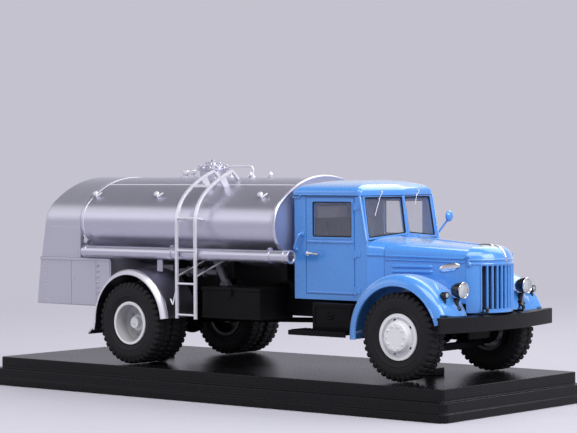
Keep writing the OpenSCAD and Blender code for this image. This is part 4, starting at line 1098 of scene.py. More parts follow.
class MakeCabFittings(bpy.types.Operator):
    """Hinges, door handles, mouldings, grab handles and mirror"""

    bl_idname = "tanker.cab_fittings"
    bl_label = "Cab fittings"

    def execute(self, context):
        y = -CAB_HALF
        small = Form()
        for z in HINGES_Z:
            small.plus(turned([(0, -1.1), (0.42, -1.1), (0.42, -0.4), (0.36, -0.36), (0.36, 0.36), (0.42, 0.4),
                               (0.42, 1.1), (0, 1.1)], 12, (-21.5, y - 0.12, z)))
            small.plus(box((-21.4, y - 0.22, z - 0.8), (-19.6, y + 0.1, z + 0.8), 0.08))
            small.plus(row_of(rivet(RIGHT, 0.16), 2, (-20.9, y - 0.2, z), (0.8, 0, 0), "cab_blue"))
        sill = box((-40.4, y - 0.35, SILL_Z - 1.75), (-22.1, y + 0.1, SILL_Z - 1.1), 0.18)
        foot = box((-40.4, y - 0.22, FLOOR_Z + 1.95), (-22.2, y + 0.1, FLOOR_Z + 2.4), 0.12)
        inner = border(rounded(-38.8, SILL_Z - 0.6, -22.3, EAVE_Z - 1.2, 0.9),
                       rounded(-38.1, SILL_Z, -22.9, EAVE_Z - 1.8, 0.5), "y", y - 0.16, y + 0.1)
        small.plus(sill, foot, inner.bevel(0.06))
        piece("cab_door_mouldings", small.both(), "cab_blue")

        (x0, z0), (x1, z1) = GRAB_ENDS
        grip = wire([(x0, y, z0), (x0, y - 1.5, z0), (x1, y - 1.5, z1), (x1, y, z1)], 0.42, "cab_blue", 0.8)
        for x, z in GRAB_ENDS:
            grip.plus(turned([(0.8, 0), (0.75, 0.2), (0.5, 0.32), (0.4, 0.5)], 14, (x, y + 0.02, z), RIGHT))
        piece("cab_grab_handles", grip.both(), "cab_blue", stands_for=["grab_handles"])

        x, z = DOOR_HANDLE
        handle = wire([(x, y + 0.1, z), (x, y - 0.85, z), (x + 2.6, y - 0.95, z + 0.05),
                       (x + 4.7, y - 0.7, z - 0.1)], 0.36, "bright_trim", 0.45)
        handle.plus(turned([(0.75, -0.05), (0.72, 0.14), (0.45, 0.3), (0, 0.32)], 18, (x, y, z), RIGHT))
        piece("cab_door_handles", handle.both(), "bright_trim")

        arm = wire([(-18.6, CAB_HALF + 0.2, 41.2), (-17.6, 18.9, 42.7), (-15.0, 20.5, 46.8)], 0.32, "cab_blue", 1.0)
        arm.plus(turned([(0, -0.1), (0.8, 0), (0.8, 0.3), (0.55, 0.6), (0.35, 0.8), (0, 0.82)], 16,
                        (-18.6, CAB_HALF, 41.2), LEFT))
        arm.plus(turned([(0, -0.25), (0.9, -0.16), (1.5, 0.14), (1.75, 0.5), (1.75, 0.86), (1.6, 0.9), (1.55, 0.8),
                         (0, 0.8)], 32, MIRROR, BACKWARD))
        piece("mirror_and_arm", arm, "cab_blue", stands_for=["mirror_arm"])
        glass = turned([(0, 0.86), (1.52, 0.83), (1.52, 0.78), (0, 0.78)], 32, MIRROR, BACKWARD)
        piece("mirror_glass", glass, "bright_trim")
        return {"FINISHED"}


class MakeCabInside(bpy.types.Operator):
    """Bench seat, dashboard and steering wheel"""

    bl_idname = "tanker.cab_inside"
    bl_label = "Cab inside"

    def execute(self, context):
        piece("cab_bench_and_dash", cad("cab_floor").bevel(0.45, segments=3), "inside_grey", "cab_interior",
              stands_for=["cab_floor"])
        back = box((-43.6, -15.2, 31.0), (-41.0, 15.2, SILL_Z + 5.4)).bevel(0.7, segments=4)
        for y in (-7.6, 0, 7.6):
            back.plus(wire([(-40.98, y, 32.0), (-40.98, y, SILL_Z + 4.8)], 0.16, "seat_blue"))
        piece("cab_seat_back", back, "seat_blue", "cab_interior")
        repaint("steering_wheel", "seal_black")
        return {"FINISHED"}


def blister(stations, deep, tall, rise=0.0, start=0.0):
    """Half-round swelling of the bonnet's side, from stations of (x, share of its size)."""
    return loft([[(x, -deep * w * sin(a), rise * x + start + tall * w * cos(a)) for a in evenly(0, pi, 8)]
                 for x, w in stations])


class MakeBonnet(bpy.types.Operator):
    """Bonnet with its mouldings, ribs and catches, and the bright trim"""

    bl_idname = "tanker.bonnet"
    bl_label = "Bonnet"

    def execute(self, context):
        outer = arch(BONNET_REAR, CREASE_Z + 1.3, SILL_Z - 0.3), arch(BONNET_FRONT, CREASE_Z, NOSE_TOP)
        inner = (arch(BONNET_REAR - 0.7, CREASE_Z + 1.1, SILL_Z - 1.1),
                 arch(BONNET_FRONT - 0.9, CREASE_Z - 0.2, NOSE_TOP - 0.8))
        top = arch_shell((BONNET_X, SHELL_X - 0.08), outer, inner).bevel(0.1, 60)
        side = Matrix.Translation((BONNET_X, -BONNET_REAR, 0)) @ Matrix.Rotation(BONNET_LEAN, 4, "Z")
        length = hypot(SHELL_X - BONNET_X, BONNET_REAR - BONNET_FRONT)
        work = Form()
        for z, r in ((CREASE_Z + 0.35, 0.38), (CREASE_Z - 0.75, 0.28)):
            work.plus(bead([(0.5, -0.02, z), (length - 0.3, -0.02, z - 0.5)], r))
        rib = blister(((0, 0.05), (0.5, 0.7), (1.2, 1), (12.6, 1), (13.3, 0.7), (13.8, 0.05)), 0.42, 0.55)
        work.plus(row_of(rib, 2, (2.3, 0.02, 33.3), (0, 0, -1.5), "cab_blue"))
        seam = box((0.1, -0.12, FLOOR_Z + 0.3), (length - 0.2, 0.3, FLOOR_Z + 0.8), 0.08)
        work.plus(seam)
        x, z = length + 0.9, CREASE_Z - 0.9
        work.plus(turned([(0.75, -0.1), (0.75, 0.25), (0.5, 0.5), (0, 0.55)], 16, (x, 0.2, z - 0.9), RIGHT))
        work.plus(box((x - 0.25, -0.5, z - 0.9), (x + 0.25, 0.3, z + 1.2), 0.15))
        work.plus(turned([(0, -0.55), (0.42, -0.5), (0.5, 0), (0.42, 0.5), (0, 0.55)], 16, (x, -0.25, z + 1.3),
                         FORWARD))
        work.moved(side)
        hinge = bead([(BONNET_X + 0.2, 0, SILL_Z - 0.3), (SHELL_X - 0.2, 0, NOSE_TOP - 0.02)], 0.26)
        piece("bonnet_cover", top.plus(work.both(), hinge), "cab_blue", stands_for=["bonnet"])

        flash = blister(((0, 0.25), (0.4, 0.7), (1.2, 1), (4.8, 1), (5.9, 0.75), (6.6, 0.15)), 0.5, 1.15, 0.16,
                        -0.5)
        flash.moved(side @ Matrix.Translation((18.0, 0.02, 33.2)))
        nose = [(NOSE_X + NOSE_R, 0, CREASE_Z - 1.2)]
        bend = arc(NOSE_X + NOSE_R - NOSE_BEND, NOSE_TOP - NOSE_BEND, NOSE_BEND, range(0, 91, 15))
        nose += [(x, 0, z) for x, z in bend]
        nose.append((NOSE_X + 6.2, 0, NOSE_TOP))
        ridge = wire(nose, 0.42, "bright_trim", 1.0, 12)
        base = loft([[(x, 0.75 * w * cos(a), NOSE_TOP - 0.15 + 0.75 * w * sin(a)) for a in evenly(0, pi, 10)]
                     for x, w in ((9.6, 0.2), (10.6, 0.7), (12.4, 1), (15, 1), (16.2, 0.75), (16.8, 0.2))])
        piece("bonnet_bright_trim", flash.both().plus(ridge, base), "bright_trim", stands_for=["bonnet_trim"])
        return {"FINISHED"}


class MakeRadiator(bpy.types.Operator):
    """Rounded radiator shell with upright grille bars"""

    bl_idname = "tanker.radiator"
    bl_label = "Radiator"

    def execute(self, context):
        front = SHELL_X - NOSE_X
        opening, low, high = 41.0, NOSE_Z + 1.1, 33.7
        widest = degrees(acos(front / NOSE_R))
        inner = [opening / widest * k / 16 for k in range(-16, 17)]
        outer = [opening / widest + (1 - opening / widest) * k / 6 for k in range(1, 7)]
        shares = [-t for t in outer[::-1]] + inner + outer
        profile = [(NOSE_R, NOSE_Z), (NOSE_R, low), (NOSE_R, (low + high) / 2), (NOSE_R, high),
                   (NOSE_R, NOSE_TOP - NOSE_BEND)]
        profile += arc(NOSE_R - NOSE_BEND, NOSE_TOP - NOSE_BEND, NOSE_BEND, evenly(0, 90, 8)[1:])
        profile += [(7.0, NOSE_TOP + 0.02), (6.2, NOSE_TOP + 0.03), (front + 0.01, NOSE_TOP + 0.03)]
        shell = Form()
        rows = []
        for r, z in profile:
            most = acos(min(1, front / r))
            rows.append([shell.bm.verts.new((NOSE_X + r * cos(t * most), r * sin(t * most), z)) for t in shares])
        for (a, pa), (b, pb) in zip(zip(rows, profile), list(zip(rows, profile))[1:]):
            for i in range(len(shares) - 1):
                mid = abs(shares[i] + shares[i + 1]) / 2 * widest
                if mid < opening and pa[1] >= low - 0.01 and pb[1] <= high + 0.01:
                    continue
                shell.bm.faces.new((a[i], a[i + 1], b[i + 1], b[i]))
        shell.merged(0.0005)
        if sum(f.normal.x * f.calc_area() for f in shell.bm.faces) < 0:
            bmesh.ops.reverse_faces(shell.bm, faces=shell.bm.faces)
        shell = shell.thicken(0.8)
        count = detail().grille_bars
        bar = prism([(0.25, 0.36), (-0.35, 0.32), (-0.6, 0.15), (-0.6, -0.15), (-0.35, -0.32), (0.25, -0.36)], "z",
                    low - 0.3, high + 0.3).moved(Matrix.Rotation(pi, 4, "Z")).bevel(0.08)
        step = radians(2 * opening / (count + 1))
        bars = ring_of(bar, count, NOSE_R - 0.42, "cab_blue", -step * (count - 1) / 2, step,
                       Matrix.Translation((NOSE_X, 0, 0)))
        rim = Form()
        for z, r in ((CREASE_Z - 0.55, 0.34), (CREASE_Z - 1.75, 0.3)):
            rim.plus(bead([(*p, z) for p in arc(NOSE_X, 0, NOSE_R + 0.02, range(-60, 61, 4))], r))
        for p in arc(NOSE_X, 0, NOSE_R, (-opening - 1.2, opening + 1.2)):
            rim.plus(bead([(*p, low - 0.6), (*p, high + 0.3)], 0.3))
        piece("radiator_shell_and_bars", shell.plus(bars, rim), "cab_blue", stands_for=["radiator_shell"])
        fins = row_of(box((14.5, -8.5, -0.06), (14.75, 8.5, 0.06)), 38, (0, 0, NOSE_Z + 1.2), (0, 0, 0.36),
                      "radiator_black")
        piece("radiator_block", cad("radiator_core").bevel(0.1).plus(fins), "radiator_black",
              stands_for=["radiator_core"])
        return {"FINISHED"}


class MakeFrontWings(bpy.types.Operator):
    """Front wings with rolled edges"""

    bl_idname = "tanker.front_wings"
    bl_label = "Front wings"

    def execute(self, context):
        for side, sign in SIDES:
            node = "front_wing_" + side
            wing = cad(node, 0.1)
            for r, inset, thick in ((WING_ARCH + 0.18, 0.12, 0.34), (WING_CROWN - 0.35, 2.2, 0.05)):
                line = arc(WING_X, WHEEL_Z, r, evenly(24, 185, 40))
                wing.plus(bead([(x, sign * (WING_HALF - inset), z) for x, z in line], thick))
            piece("front_mudguard_" + side, wing, "cab_blue", stands_for=[node], smooth=40)
        return {"FINISHED"}


class MakeLamps(bpy.types.Operator):
    """Headlamps, marker lamps and their lenses"""

    bl_idname = "tanker.lamps"
    bl_label = "Lamps"

    def execute(self, context):
        bowls = Form()
        profile = [(0, 4.3), (0.9, 4.1), (1.6, 3.5), (2.1, 2.4), (2.35, 1.2), (2.42, 0.35), (2.42, 0.02),
                   (2.3, -0.08), (2.12, -0.05), (2.0, 0.1), (1.97, 0.75), (0, 0.8)]
        bowls.plus(turned(profile, 40, HEADLAMP, BACKWARD))
        bowls.plus(turned([(2.0, -0.5), (1.95, 0.1), (1.6, 0.35), (1.0, 0.75), (0.8, 1.5), (0.9, 2.6)], 20,
                          (13.9, -16.3, 22.0), (0.3, 0, 1)))
        bowls.plus(turned([(0, 2.3), (0.6, 2.2), (1.0, 1.6), (1.04, 0.1), (0.95, 0), (0.72, 0.05), (0.7, 0.3),
                           (0, 0.32)], 24, MARKER, BACKWARD))
        bowls.plus(turned([(1.0, 20.9), (0.9, 22.4), (0.55, 23.2), (0.55, 25.0)], 16, (14.4, -22.1, 0)))
        piece("lamp_bowls", bowls.both(), "lamp_black", stands_for=["lamps"])
        bright = turned([(1.95, 0.74), (1.2, 0.72), (0.5, 0.76), (0, 0.78), (0, 0.79), (1.95, 0.79)], 32, HEADLAMP,
                        BACKWARD)
        bright.plus(turned([(2.36, 0.22), (2.46, 0.12), (2.46, 0.0), (2.34, -0.12), (2.16, -0.1), (2.06, 0.0),
                            (2.06, 0.2)], 40, HEADLAMP, BACKWARD, closed=True))
        piece("lamp_reflectors", bright.both(), "bright_trim")
        lens = turned([(1.98, 0.6), (1.97, 0.05), (1.5, -0.16), (0.8, -0.28), (0, -0.31)], 32, HEADLAMP, BACKWARD)
        lens.plus(turned([(0.7, 0.3), (0.68, -0.05), (0.35, -0.25), (0, -0.3)], 16, MARKER, BACKWARD))
        piece("lamp_glass", lens.both(), "lamp_clear", stands_for=["lamp_lenses"])
        return {"FINISHED"}


class MakeTank(bpy.types.Operator):
    """Oval tank with its seams and domed front end"""

    bl_idname = "tanker.tank"
    bl_label = "Tank"

    def execute(self, context):
        shell = loft([[(x, *p) for p in oval()] for x in evenly(SHROUD_X + 0.05, TANK_FRONT - 1.6, 12)])
        width = detail().seam_width / MM
        (y, z), _ = on_tank(SEAM_Z)
        seam = wire([(SHROUD_X + 1.2, y, z - 0.12), (TANK_FRONT - 1.8, y, z - 0.12)], width * 0.5, "tank_silver",
                    sides=10)
        seam.both()
        ring = [(SHROUD_X + 1.3, *p) for p in oval(-0.12)]
        seam.plus(wire(ring, width * 0.55, "tank_silver", sides=8, loop=True))
        piece("tank_shell", shell, "tank_silver", stands_for=["tank"], smooth=40)
        # The seams take the paler rail silver: a painted highlight that makes them read as bright lines.
        piece("tank_seams", seam, "rail_silver", "tank_silver")

        rings = []
        for x, g in ((-1.55, 0.0), (-1.5, 0.42), (-1.25, 0.7), (-0.85, 0.85), (-0.4, 0.85), (0, 0.7), (0.25, 0.4),
                     (0.25, 0.05), (0.05, -0.25)):
            rings.append([(TANK_FRONT + x, *p) for p in oval(g)])
        flat = oval(-0.25)
        for k in range(1, 9):
            s = 1 - k / 9
            rings.append([(TANK_FRONT + 1.68 * (1 - s * s), y * s, TANK_Z + (z - TANK_Z) * s) for y, z in flat])
        piece("tank_front_end", loft(rings), "tank_silver", stands_for=["tank_end"], smooth=45)
        return {"FINISHED"}


class MakeTankTop(bpy.types.Operator):
    """Filler hatch, breather, hand hoop and hose hooks"""

    bl_idname = "tanker.tank_top"
    bl_label = "Tank top fittings"

    def execute(self, context):
        profile = [(4.25, -0.6), (4.25, 2.3), (4.4, 2.45), (5.1, 2.45), (5.15, 2.55), (5.15, 2.95), (5.05, 3.05),
                   (4.4, 3.05), (4.35, 3.15), (4.3, 3.5), (4.1, 3.68), (2.9, 3.95), (1.6, 4.05), (1.35, 4.2),
                   (1.25, 4.75), (1.05, 4.85), (0.6, 4.9), (0.55, 5.2), (0.75, 5.35), (0.75, 5.65), (0.55, 5.78),
                   (0, 5.8)]
        hatch = turned(profile, 64, (HATCH_X, 0, TANK_TOP))
        count = detail().hatch_bolts
        nut = turned([(0.2, -0.7), (0.2, 0.9), (0, 0.95)], 8)
        nut.plus(turned([(0.42, 0), (0.42, 0.35), (0.3, 0.55), (0, 0.55)], 8))
        for t in (-1, 1):
            nut.plus(turned([(0, -0.16), (0.3, -0.12), (0.36, 0), (0.3, 0.12), (0, 0.16)], 8, (0, t * 0.5, 0.85),
                            FORWARD))
        hatch.plus(ring_of(nut, count, 4.75, "tank_silver", place=place_at((HATCH_X, 0, TANK_TOP + 3.0))))
        bar = wire([(-3.0, 0, 3.6), (-2.2, 0, 4.9), (2.2, 0, 4.9), (3.0, 0, 3.6)], 0.3, "tank_silver", 0.7, 10)
        hatch.plus(ring_of(bar, 2, 0.0, "tank_silver", 0.5, pi / 2, place_at((HATCH_X, 0, TANK_TOP))))
        piece("filler_hatch", hatch, "body_silver", "tank_silver", stands_for=["hatch"])

        work = Form()
        for x, r, h in ((-107.5, 1.35, 2.3), (-104.3, 1.15, 2.5)):
            work.plus(turned([(r + 0.5, -0.3), (r + 0.5, 0.3), (r * 0.6, 0.5), (r * 0.6, h - 1.2), (r, h - 1.1),
                              (r, h - 0.3), (r * 0.8, h - 0.05), (0, h)], 24, (x, 0, TANK_TOP)))
        h0, h1 = HATCH_X + 7.9, HATCH_X + 17.4
        work.plus(wire([(h0 - 3.4, 0, TANK_TOP + 2.7), (h0, 0, TANK_TOP + 3.6), (h1, 0, TANK_TOP + 3.6),
                        (h1, 0, TANK_TOP - 0.2)], 0.34, "tank_silver", 1.3, 14))
        work.plus(wire([(h0, 0, TANK_TOP - 0.2), (h0, 0, TANK_TOP + 3.5)], 0.32, "tank_silver"))
        for hx in (h0, h1):
            work.plus(turned([(0.8, -0.3), (0.8, 0.2), (0.55, 0.45), (0.34, 0.55)], 18, (hx, 0, TANK_TOP)))
        for hx in (h1 - 1.9, -71.4):
            work.plus(turned([(0, -0.6), (0.5, -0.5), (0.5, 1.3), (0.7, 1.35), (0.7, 2.1), (0.5, 2.25), (0, 2.3)],
                             16, (hx, -0.4, TANK_TOP), (0.8, 0, 0.6)))
        piece("tank_top_fittings", work, "rail_silver", "tank_silver", stands_for=["tank_fittings"])

        hooks = Form()
        (y, z), (ny, nz) = on_tank(HOOK_Z)
        out, up, ahead = Vector((0, ny, nz)), Vector((0, nz, -ny)), Vector((1, 0, 0))
        for x in HOOKS_X:
            spot = Vector((x, y, z))
            hooks.plus(turned([(0.5, -0.2), (0.35, 0.2), (0.4, 0.35), (0.85, 0.6), (0.95, 1.05), (0.75, 1.5),
                               (0, 1.7)], 16, spot, out))
            path = [spot + ahead * 0.4 + out * 0.7 - up * 0.2, spot + ahead * 1.35 + out * 0.75 - up * 1.35,
                    spot + ahead * 2.6 + out * 1.0 + up * 0.5]
            hooks.plus(wire(path, 0.26, "rail_silver", 0.2, 8))
            hooks.plus(wire([path[1] + out * 0.05, path[1] - out * 0.9], 0.16, "rail_silver", sides=8))
        piece("hose_hooks", hooks.both(), "rail_silver", "tank_silver")
        return {"FINISHED"}


def strip(spots, x, half, thick):
    """Flat bar that follows spots (y, z) in the cross view."""
    rings = []
    for i, (y, z) in enumerate(spots):
        a, b = Vector(spots[max(0, i - 1)]), Vector(spots[min(len(spots) - 1, i + 1)])
        along = (b - a).normalized()
        off = Vector((-along.y, along.x)) * thick
        rings.append([(x + u * half, y + v * off.x, z + v * off.y)
                      for u, v in ((-1, -1), (1, -1), (1, 1), (-1, 1))])
    return loft(rings)


class MakeLadder(bpy.types.Operator):
    """Ladder over the tank's right shoulder"""

    bl_idname = "tanker.ladder"
    bl_label = "Ladder"

    def execute(self, context):
        over, side, out = TANK_BIG + LADDER_GAP, TANK_SIDE + LADDER_GAP, TANK_A + LADDER_GAP
        crown, turn = TANK_Z - TANK_K, 180 - degrees(TANK_TURN)
        spots = [(-out, 15.4), (-out, 30.0), (-out, TANK_Z)]
        spots += arc(-TANK_C, TANK_Z, side, evenly(180, turn, 8)[1:])
        spots += arc(0, crown, over, evenly(turn, 107, 12)[1:])
        y, z = spots[-1]
        spots += [(y + 0.75, z - 0.25), (y + 3.2, TANK_TOP - 0.6)]
        form = Form()
        for s in (-1, 1):
            x = LADDER_X + s * 3.95
            form.plus(strip(spots, x, 0.5, 0.4).bevel(0.12, 40))
            gusset = arc(0, crown, over - 0.2, (117, 115.5, 114, 112.5))
            gusset += arc(0, crown, TANK_BIG - 0.1, (111.5, 113.5, 115.5))
            form.plus(prism(gusset, "x", x - 0.3, x + 0.3).bevel(0.08))
            form.plus(wire([(x, -TANK_A + 0.2, 46.4), (x, -out, 46.97)], 0.36, "rail_silver"))
            form.plus(wire([(x, -out, 28.6), (x, -13.9, 33.45)], 0.3, "rail_silver"))
        for a, b in (((-85.8, -27.9, 24.6), (-87.3, -28.0, 19.7)), ((-87.3, -28.0, 19.7), (-88.6, -27.6, 21.4))):
            form.plus(wire([a, b], 0.28, "rail_silver"))
        rungs = [(-out, z) for z in (16.6, 26.4, 36.8)]
        rungs += arc(-TANK_C, TANK_Z, side, [180 - degrees(0.157)]) + arc(0, crown, over, [124])
        for y, z in rungs:
            form.plus(wire([(LADDER_X - 4.1, y, z), (LADDER_X + 4.1, y, z)], 0.36, "rail_silver"))
        piece("ladder_rails_and_rungs", form, "rail_silver", "tank_silver", stands_for=["ladder"])
        return {"FINISHED"}


class MakeHoseTubes(bpy.types.Operator):
    """Hose tubes along the tank with collars and clamps"""

    bl_idname = "tanker.hose_tubes"
    bl_label = "Hose tubes"

    def execute(self, context):
        front, back = CAB_BACK + 5, SHROUD_X + 2.8
        length = front - back
        r = HOSE_R
        profile = [(0, 0), (1.2, 0.02), (1.75, 0.12), (r, 0.35), (r, 1.3), (r + 0.12, 1.4), (r + 0.12, 2.1),
                   (r, 2.2), (r, length - 3.0), (r + 0.16, length - 2.85), (r + 0.16, length - 2.2),
                   (r, length - 2.05), (r, length - 0.8), (r + 0.2, length - 0.7), (r + 0.2, length - 0.12),
                   (r + 0.08, length), (r - 0.3, length), (r - 0.45, length - 0.2), (r - 0.45, length - 3.9),
                   (0, length - 4)]
        tube = turned(profile, 40, (back, -HOSE_Y, HOSE_Z), FORWARD)
        for x in (REAR_X + 15.4, REAR_X + 56.2):
            tube.plus(turned([(r + 0.02, -0.75), (r + 0.2, -0.7), (r + 0.2, 0.7), (r + 0.02, 0.75)], 40,
                             (x, -HOSE_Y, HOSE_Z), FORWARD))
            tube.plus(box((x - 0.7, -HOSE_Y + 1.5, HOSE_Z - 0.8), (x + 0.7, -21.6, HOSE_Z + 0.8), 0.15))
            tube.plus(box((x - 0.45, -HOSE_Y - 0.5, HOSE_Z + 1.9), (x + 0.45, -HOSE_Y + 0.5, HOSE_Z + 2.7), 0.15))
            tube.plus(turned([(0, -0.9), (0.3, -0.9), (0.3, 0.9), (0, 0.9)], 10, (x, -HOSE_Y, HOSE_Z + 2.35), LEFT))
        piece("hose_tube_pair", tube.both(), "tank_silver", stands_for=["hose_tubes"])
        return {"FINISHED"}


def shroud_back(z, depth=0.0):
    """Place x of the shroud's sloping back at a height."""
    return REAR_END + 1.9 + (z - SHELF_Z) * tan(SHROUD_LEAN) + depth


def locker_back(z, depth=0.0):
    """Place x of the lockers' sloping back at a height."""
    return REAR_END + (z - LOCKER_Z) * tan(LOCKER_LEAN) + depth


class MakeRearShroud(bpy.types.Operator):
    """Shroud behind the tank with its panels"""

    bl_idname = "tanker.rear_shroud"
    bl_label = "Rear shroud"

    def execute(self, context):
        upper = [p for p in oval(0.15, 48) if p[1] >= TANK_Z - 0.001]
        upper.sort(key=lambda p: -atan2(p[1] - TANK_Z, -p[0]))
        half = TANK_A + 0.15
        skirt = [(half, SHELF_Z + 0.4), (half, SHELF_Z + 6), (half, TANK_Z - 2)]
        outline = skirt + upper + [(-y, z) for y, z in skirt[::-1]]
        rings = []
        for inset, depth in ((0.9, 0), (0.45, 0.12), (0.12, 0.45), (0, 0.9)):
            share = 1 - inset / 22
            ring = [(y * share, TANK_Z + (z - TANK_Z) * share if z > TANK_Z else z) for y, z in outline]
            rings.append([(shroud_back(z, depth), y, z) for y, z in ring])
        rings += [[(SHROUD_X - 0.25, y, z) for y, z in outline], [(SHROUD_X, y * 0.994, z) for y, z in outline]]
        shroud = loft(rings)
        for sign in (-1, 1):
            panel = rounded(0.25, 35.5, 17.5, 50.5, 0.8)
            shroud.plus(loft([[(shroud_back(z, depth), sign * y, z) for y, z in panel]
                              for depth in (0.3, -0.18)]).bevel(0.08))
        flank = box((REAR_END + 7.4, -half - 0.1, SHELF_Z + 1.2), (SHROUD_X - 0.9, -half + 0.3, TANK_Z - 1.5), 0.1)
        piece("rear_shroud_panels", shroud.plus(flank.both()), "body_silver", stands_for=["rear_shroud"], smooth=40)
        return {"FINISHED"}


class MakeRearLockers(bpy.types.Operator):
    """Lockers behind the rear wheels with their doors and fastenings"""

    bl_idname = "tanker.rear_lockers"
    bl_label = "Rear lockers"

    def execute(self, context):
        lockers = cad("rear_lockers").bevel(0.2)
        y = -TANK_A
        doors = Form()
        foot, head = LOCKER_Z + 0.3, SHELF_Z - 0.5
        hoop = [(REAR_X + (REAR_WING_A + 0.15) * cos(t), WHEEL_Z + (REAR_WING_R + 0.15) * sin(t))
                for t in (radians(a) for a in range(176, 130, -4))]
        hoop = [(x, z) for x, z in hoop if foot < z < head and x < REAR_X - 13.5]
        rear_edge = [(locker_back(z, 0.15), z) for z in (head, foot)]
        for panel, rise in (([rear_edge[1], (-136.95, foot), (-136.95, head), rear_edge[0]], 0.14),
                            ([(-136.65, foot), (-125.35, foot), (-125.35, head), (-136.65, head)], 0.14),
                            ([(-125.1, foot)] + hoop + [(hoop[-1][0], head), (-125.1, head)], 0.2)):
            doors.plus(prism(panel, "y", y - rise, y + 0.2).bevel(0.05))
        doors.plus(row_of(rivet(RIGHT), 11, (-149.2, y - 0.1, LOCKER_Z + 1.4), (0, 0, 1.2), "body_silver"))
        bolt = turned([(0.45, -0.1), (0.45, 0.3), (0.3, 0.45), (0, 0.48)], 8, (0, 0, 0), RIGHT)
        doors.plus(row_of(bolt, 6, (-124.3, y - 0.18, LOCKER_Z + 4.4), (0, 0, 1.75), "body_silver"))
        doors.plus(turned([(0.4, -0.1), (0.4, 0.15), (0.25, 0.28), (0, 0.3)], 12, (-135.6, y - 0.14, 26.6), RIGHT))
        end = locker_back(SHELF_Z)
        lip = [(end - 0.04, SHELF_Z - 0.5), (REAR_X - 13.3, SHELF_Z - 0.5), (REAR_X - 13.3, SHELF_Z + 0.3),
               (end + 0.06, SHELF_Z + 0.3)]
        doors.plus(prism(lip, "y", y - 0.62, y - 0.1).bevel(0.16, segments=3))
        flap = rounded(10.6, LOCKER_Z + 6.2, 23.3, SHELF_Z - 1.2, 0.4)
        doors.plus(loft([[(locker_back(z, depth), -y, z) for y, z in flap] for depth in (0.3, -0.16)]).bevel(0.08))
        doors.plus(turned([(0.5, -1.0), (0.5, 0.2), (0.9, 0.3), (0.9, 0.9), (0.6, 1.1), (0, 1.15)], 16,
                          (-129.8, y + 0.6, 39.0), (0, -1, 0.1)))
        doors.plus(wire([(-129.8, y - 0.2, 39.0), (-130.6, y - 0.3, 41.0)], 0.24, "body_silver"))
        doors.plus(box((-99.6, -22.3, 29.6), (-97.2, -21.9, 33.4), 0.1))
        piece("rear_locker_doors", lockers.plus(doors.both()), "body_silver", stands_for=["rear_lockers"])
        return {"FINISHED"}


class MakeTailLamps(bpy.types.Operator):
    """Tail lamps on the lockers' sloping back"""

    bl_idname = "tanker.tail_lamps"
    bl_label = "Tail lamps"

    def execute(self, context):
        lean_back = Vector((-cos(LOCKER_LEAN), 0, sin(LOCKER_LEAN)))
        z = LOCKER_Z + 3.6
        spot = (locker_back(z), -20, z)
        glass = turned([(1.3, -0.1), (1.3, 0.5), (1.05, 0.78), (0.5, 0.9), (0, 0.92)], 28, spot, lean_back)
        piece("tail_lamp_lenses", glass.both(), "lamp_red", stands_for=["tail_lamps"])
        bezel = turned([(1.34, -0.1), (1.62, -0.1), (1.62, 0.3), (1.5, 0.42), (1.34, 0.36)], 28, spot, lean_back,
                       closed=True)
        piece("tail_lamp_rims", bezel.both(), "lamp_black")
        return {"FINISHED"}


class MakeRearWings(bpy.types.Operator):
    """Rear wings with rolled edges and stays"""

    bl_idname = "tanker.rear_wings"
    bl_label = "Rear wings"

    def execute(self, context):
        inner, half = TWIN_HALF - TWIN_PITCH / 2 - TYRE_HALF - 0.6, REAR_WING_HALF
        section = [(-0.7, inner), (0, inner), (0, half - 2.2), (0.12, half - 2.05), (0.12, half - 1.75),
                   (0, half - 1.6), (0, half - 1.1), (-1.1, half), (-1.6, half), (-1.6, half - 0.4),
                   (-0.7, half - 1.35)]
        edge = [(0.05, half - 1.2), (-1.05, half + 0.07), (-1.62, half + 0.07), (-1.62, half - 0.02),
                (-1.12, half - 0.05), (-0.05, half - 1.3)]

        def hoop(section):
            """A section (out from the arch, across) swept over the wheel."""
            rings = []
            for a in [7 + 173 * k / 60 for k in range(61)] + [183, 186, 190]:
                t = radians(a)
                c = cos(t) if a <= 180 else -1 - 0.004 * (a - 180)
                rings.append([(REAR_X + (REAR_WING_A + d) * c, -y, WHEEL_Z + (REAR_WING_R + d) * sin(t))
                              for d, y in section])
            return loft(rings)

        wing = hoop(section)
        x, z = REAR_X - (REAR_WING_A - 0.35) * 1.04, WHEEL_Z + REAR_WING_R * sin(radians(190))
        wing.plus(prism([(x + 0.35, z + 0.3), (x - 0.35, z + 0.5), (x - 1.9, z - 0.9), (x - 1.5, z - 1.3)], "y",
                        -half + 0.1, -inner).bevel(0.1))
        wing.plus(box((REAR_X - 1, -inner - 0.3, WHEEL_Z + 6.6), (REAR_X + 1, -inner + 0.1, WHEEL_Z + 16.9), 0.06))
        wing.plus(box((REAR_X - 1, -inner, WHEEL_Z + 6.6), (REAR_X + 1, -10.05, WHEEL_Z + 7.6), 0.1))
        wing.both()
        piece("rear_mudguards", wing, "wing_silver", "tank_silver", stands_for=["rear_wings"], smooth=40)
        # The rolled edges take the paler rail silver: a painted highlight along the mudguards' edges.
        piece("rear_mudguard_edges", hoop(edge).both(), "rail_silver", "tank_silver", smooth=40)
        return {"FINISHED"}


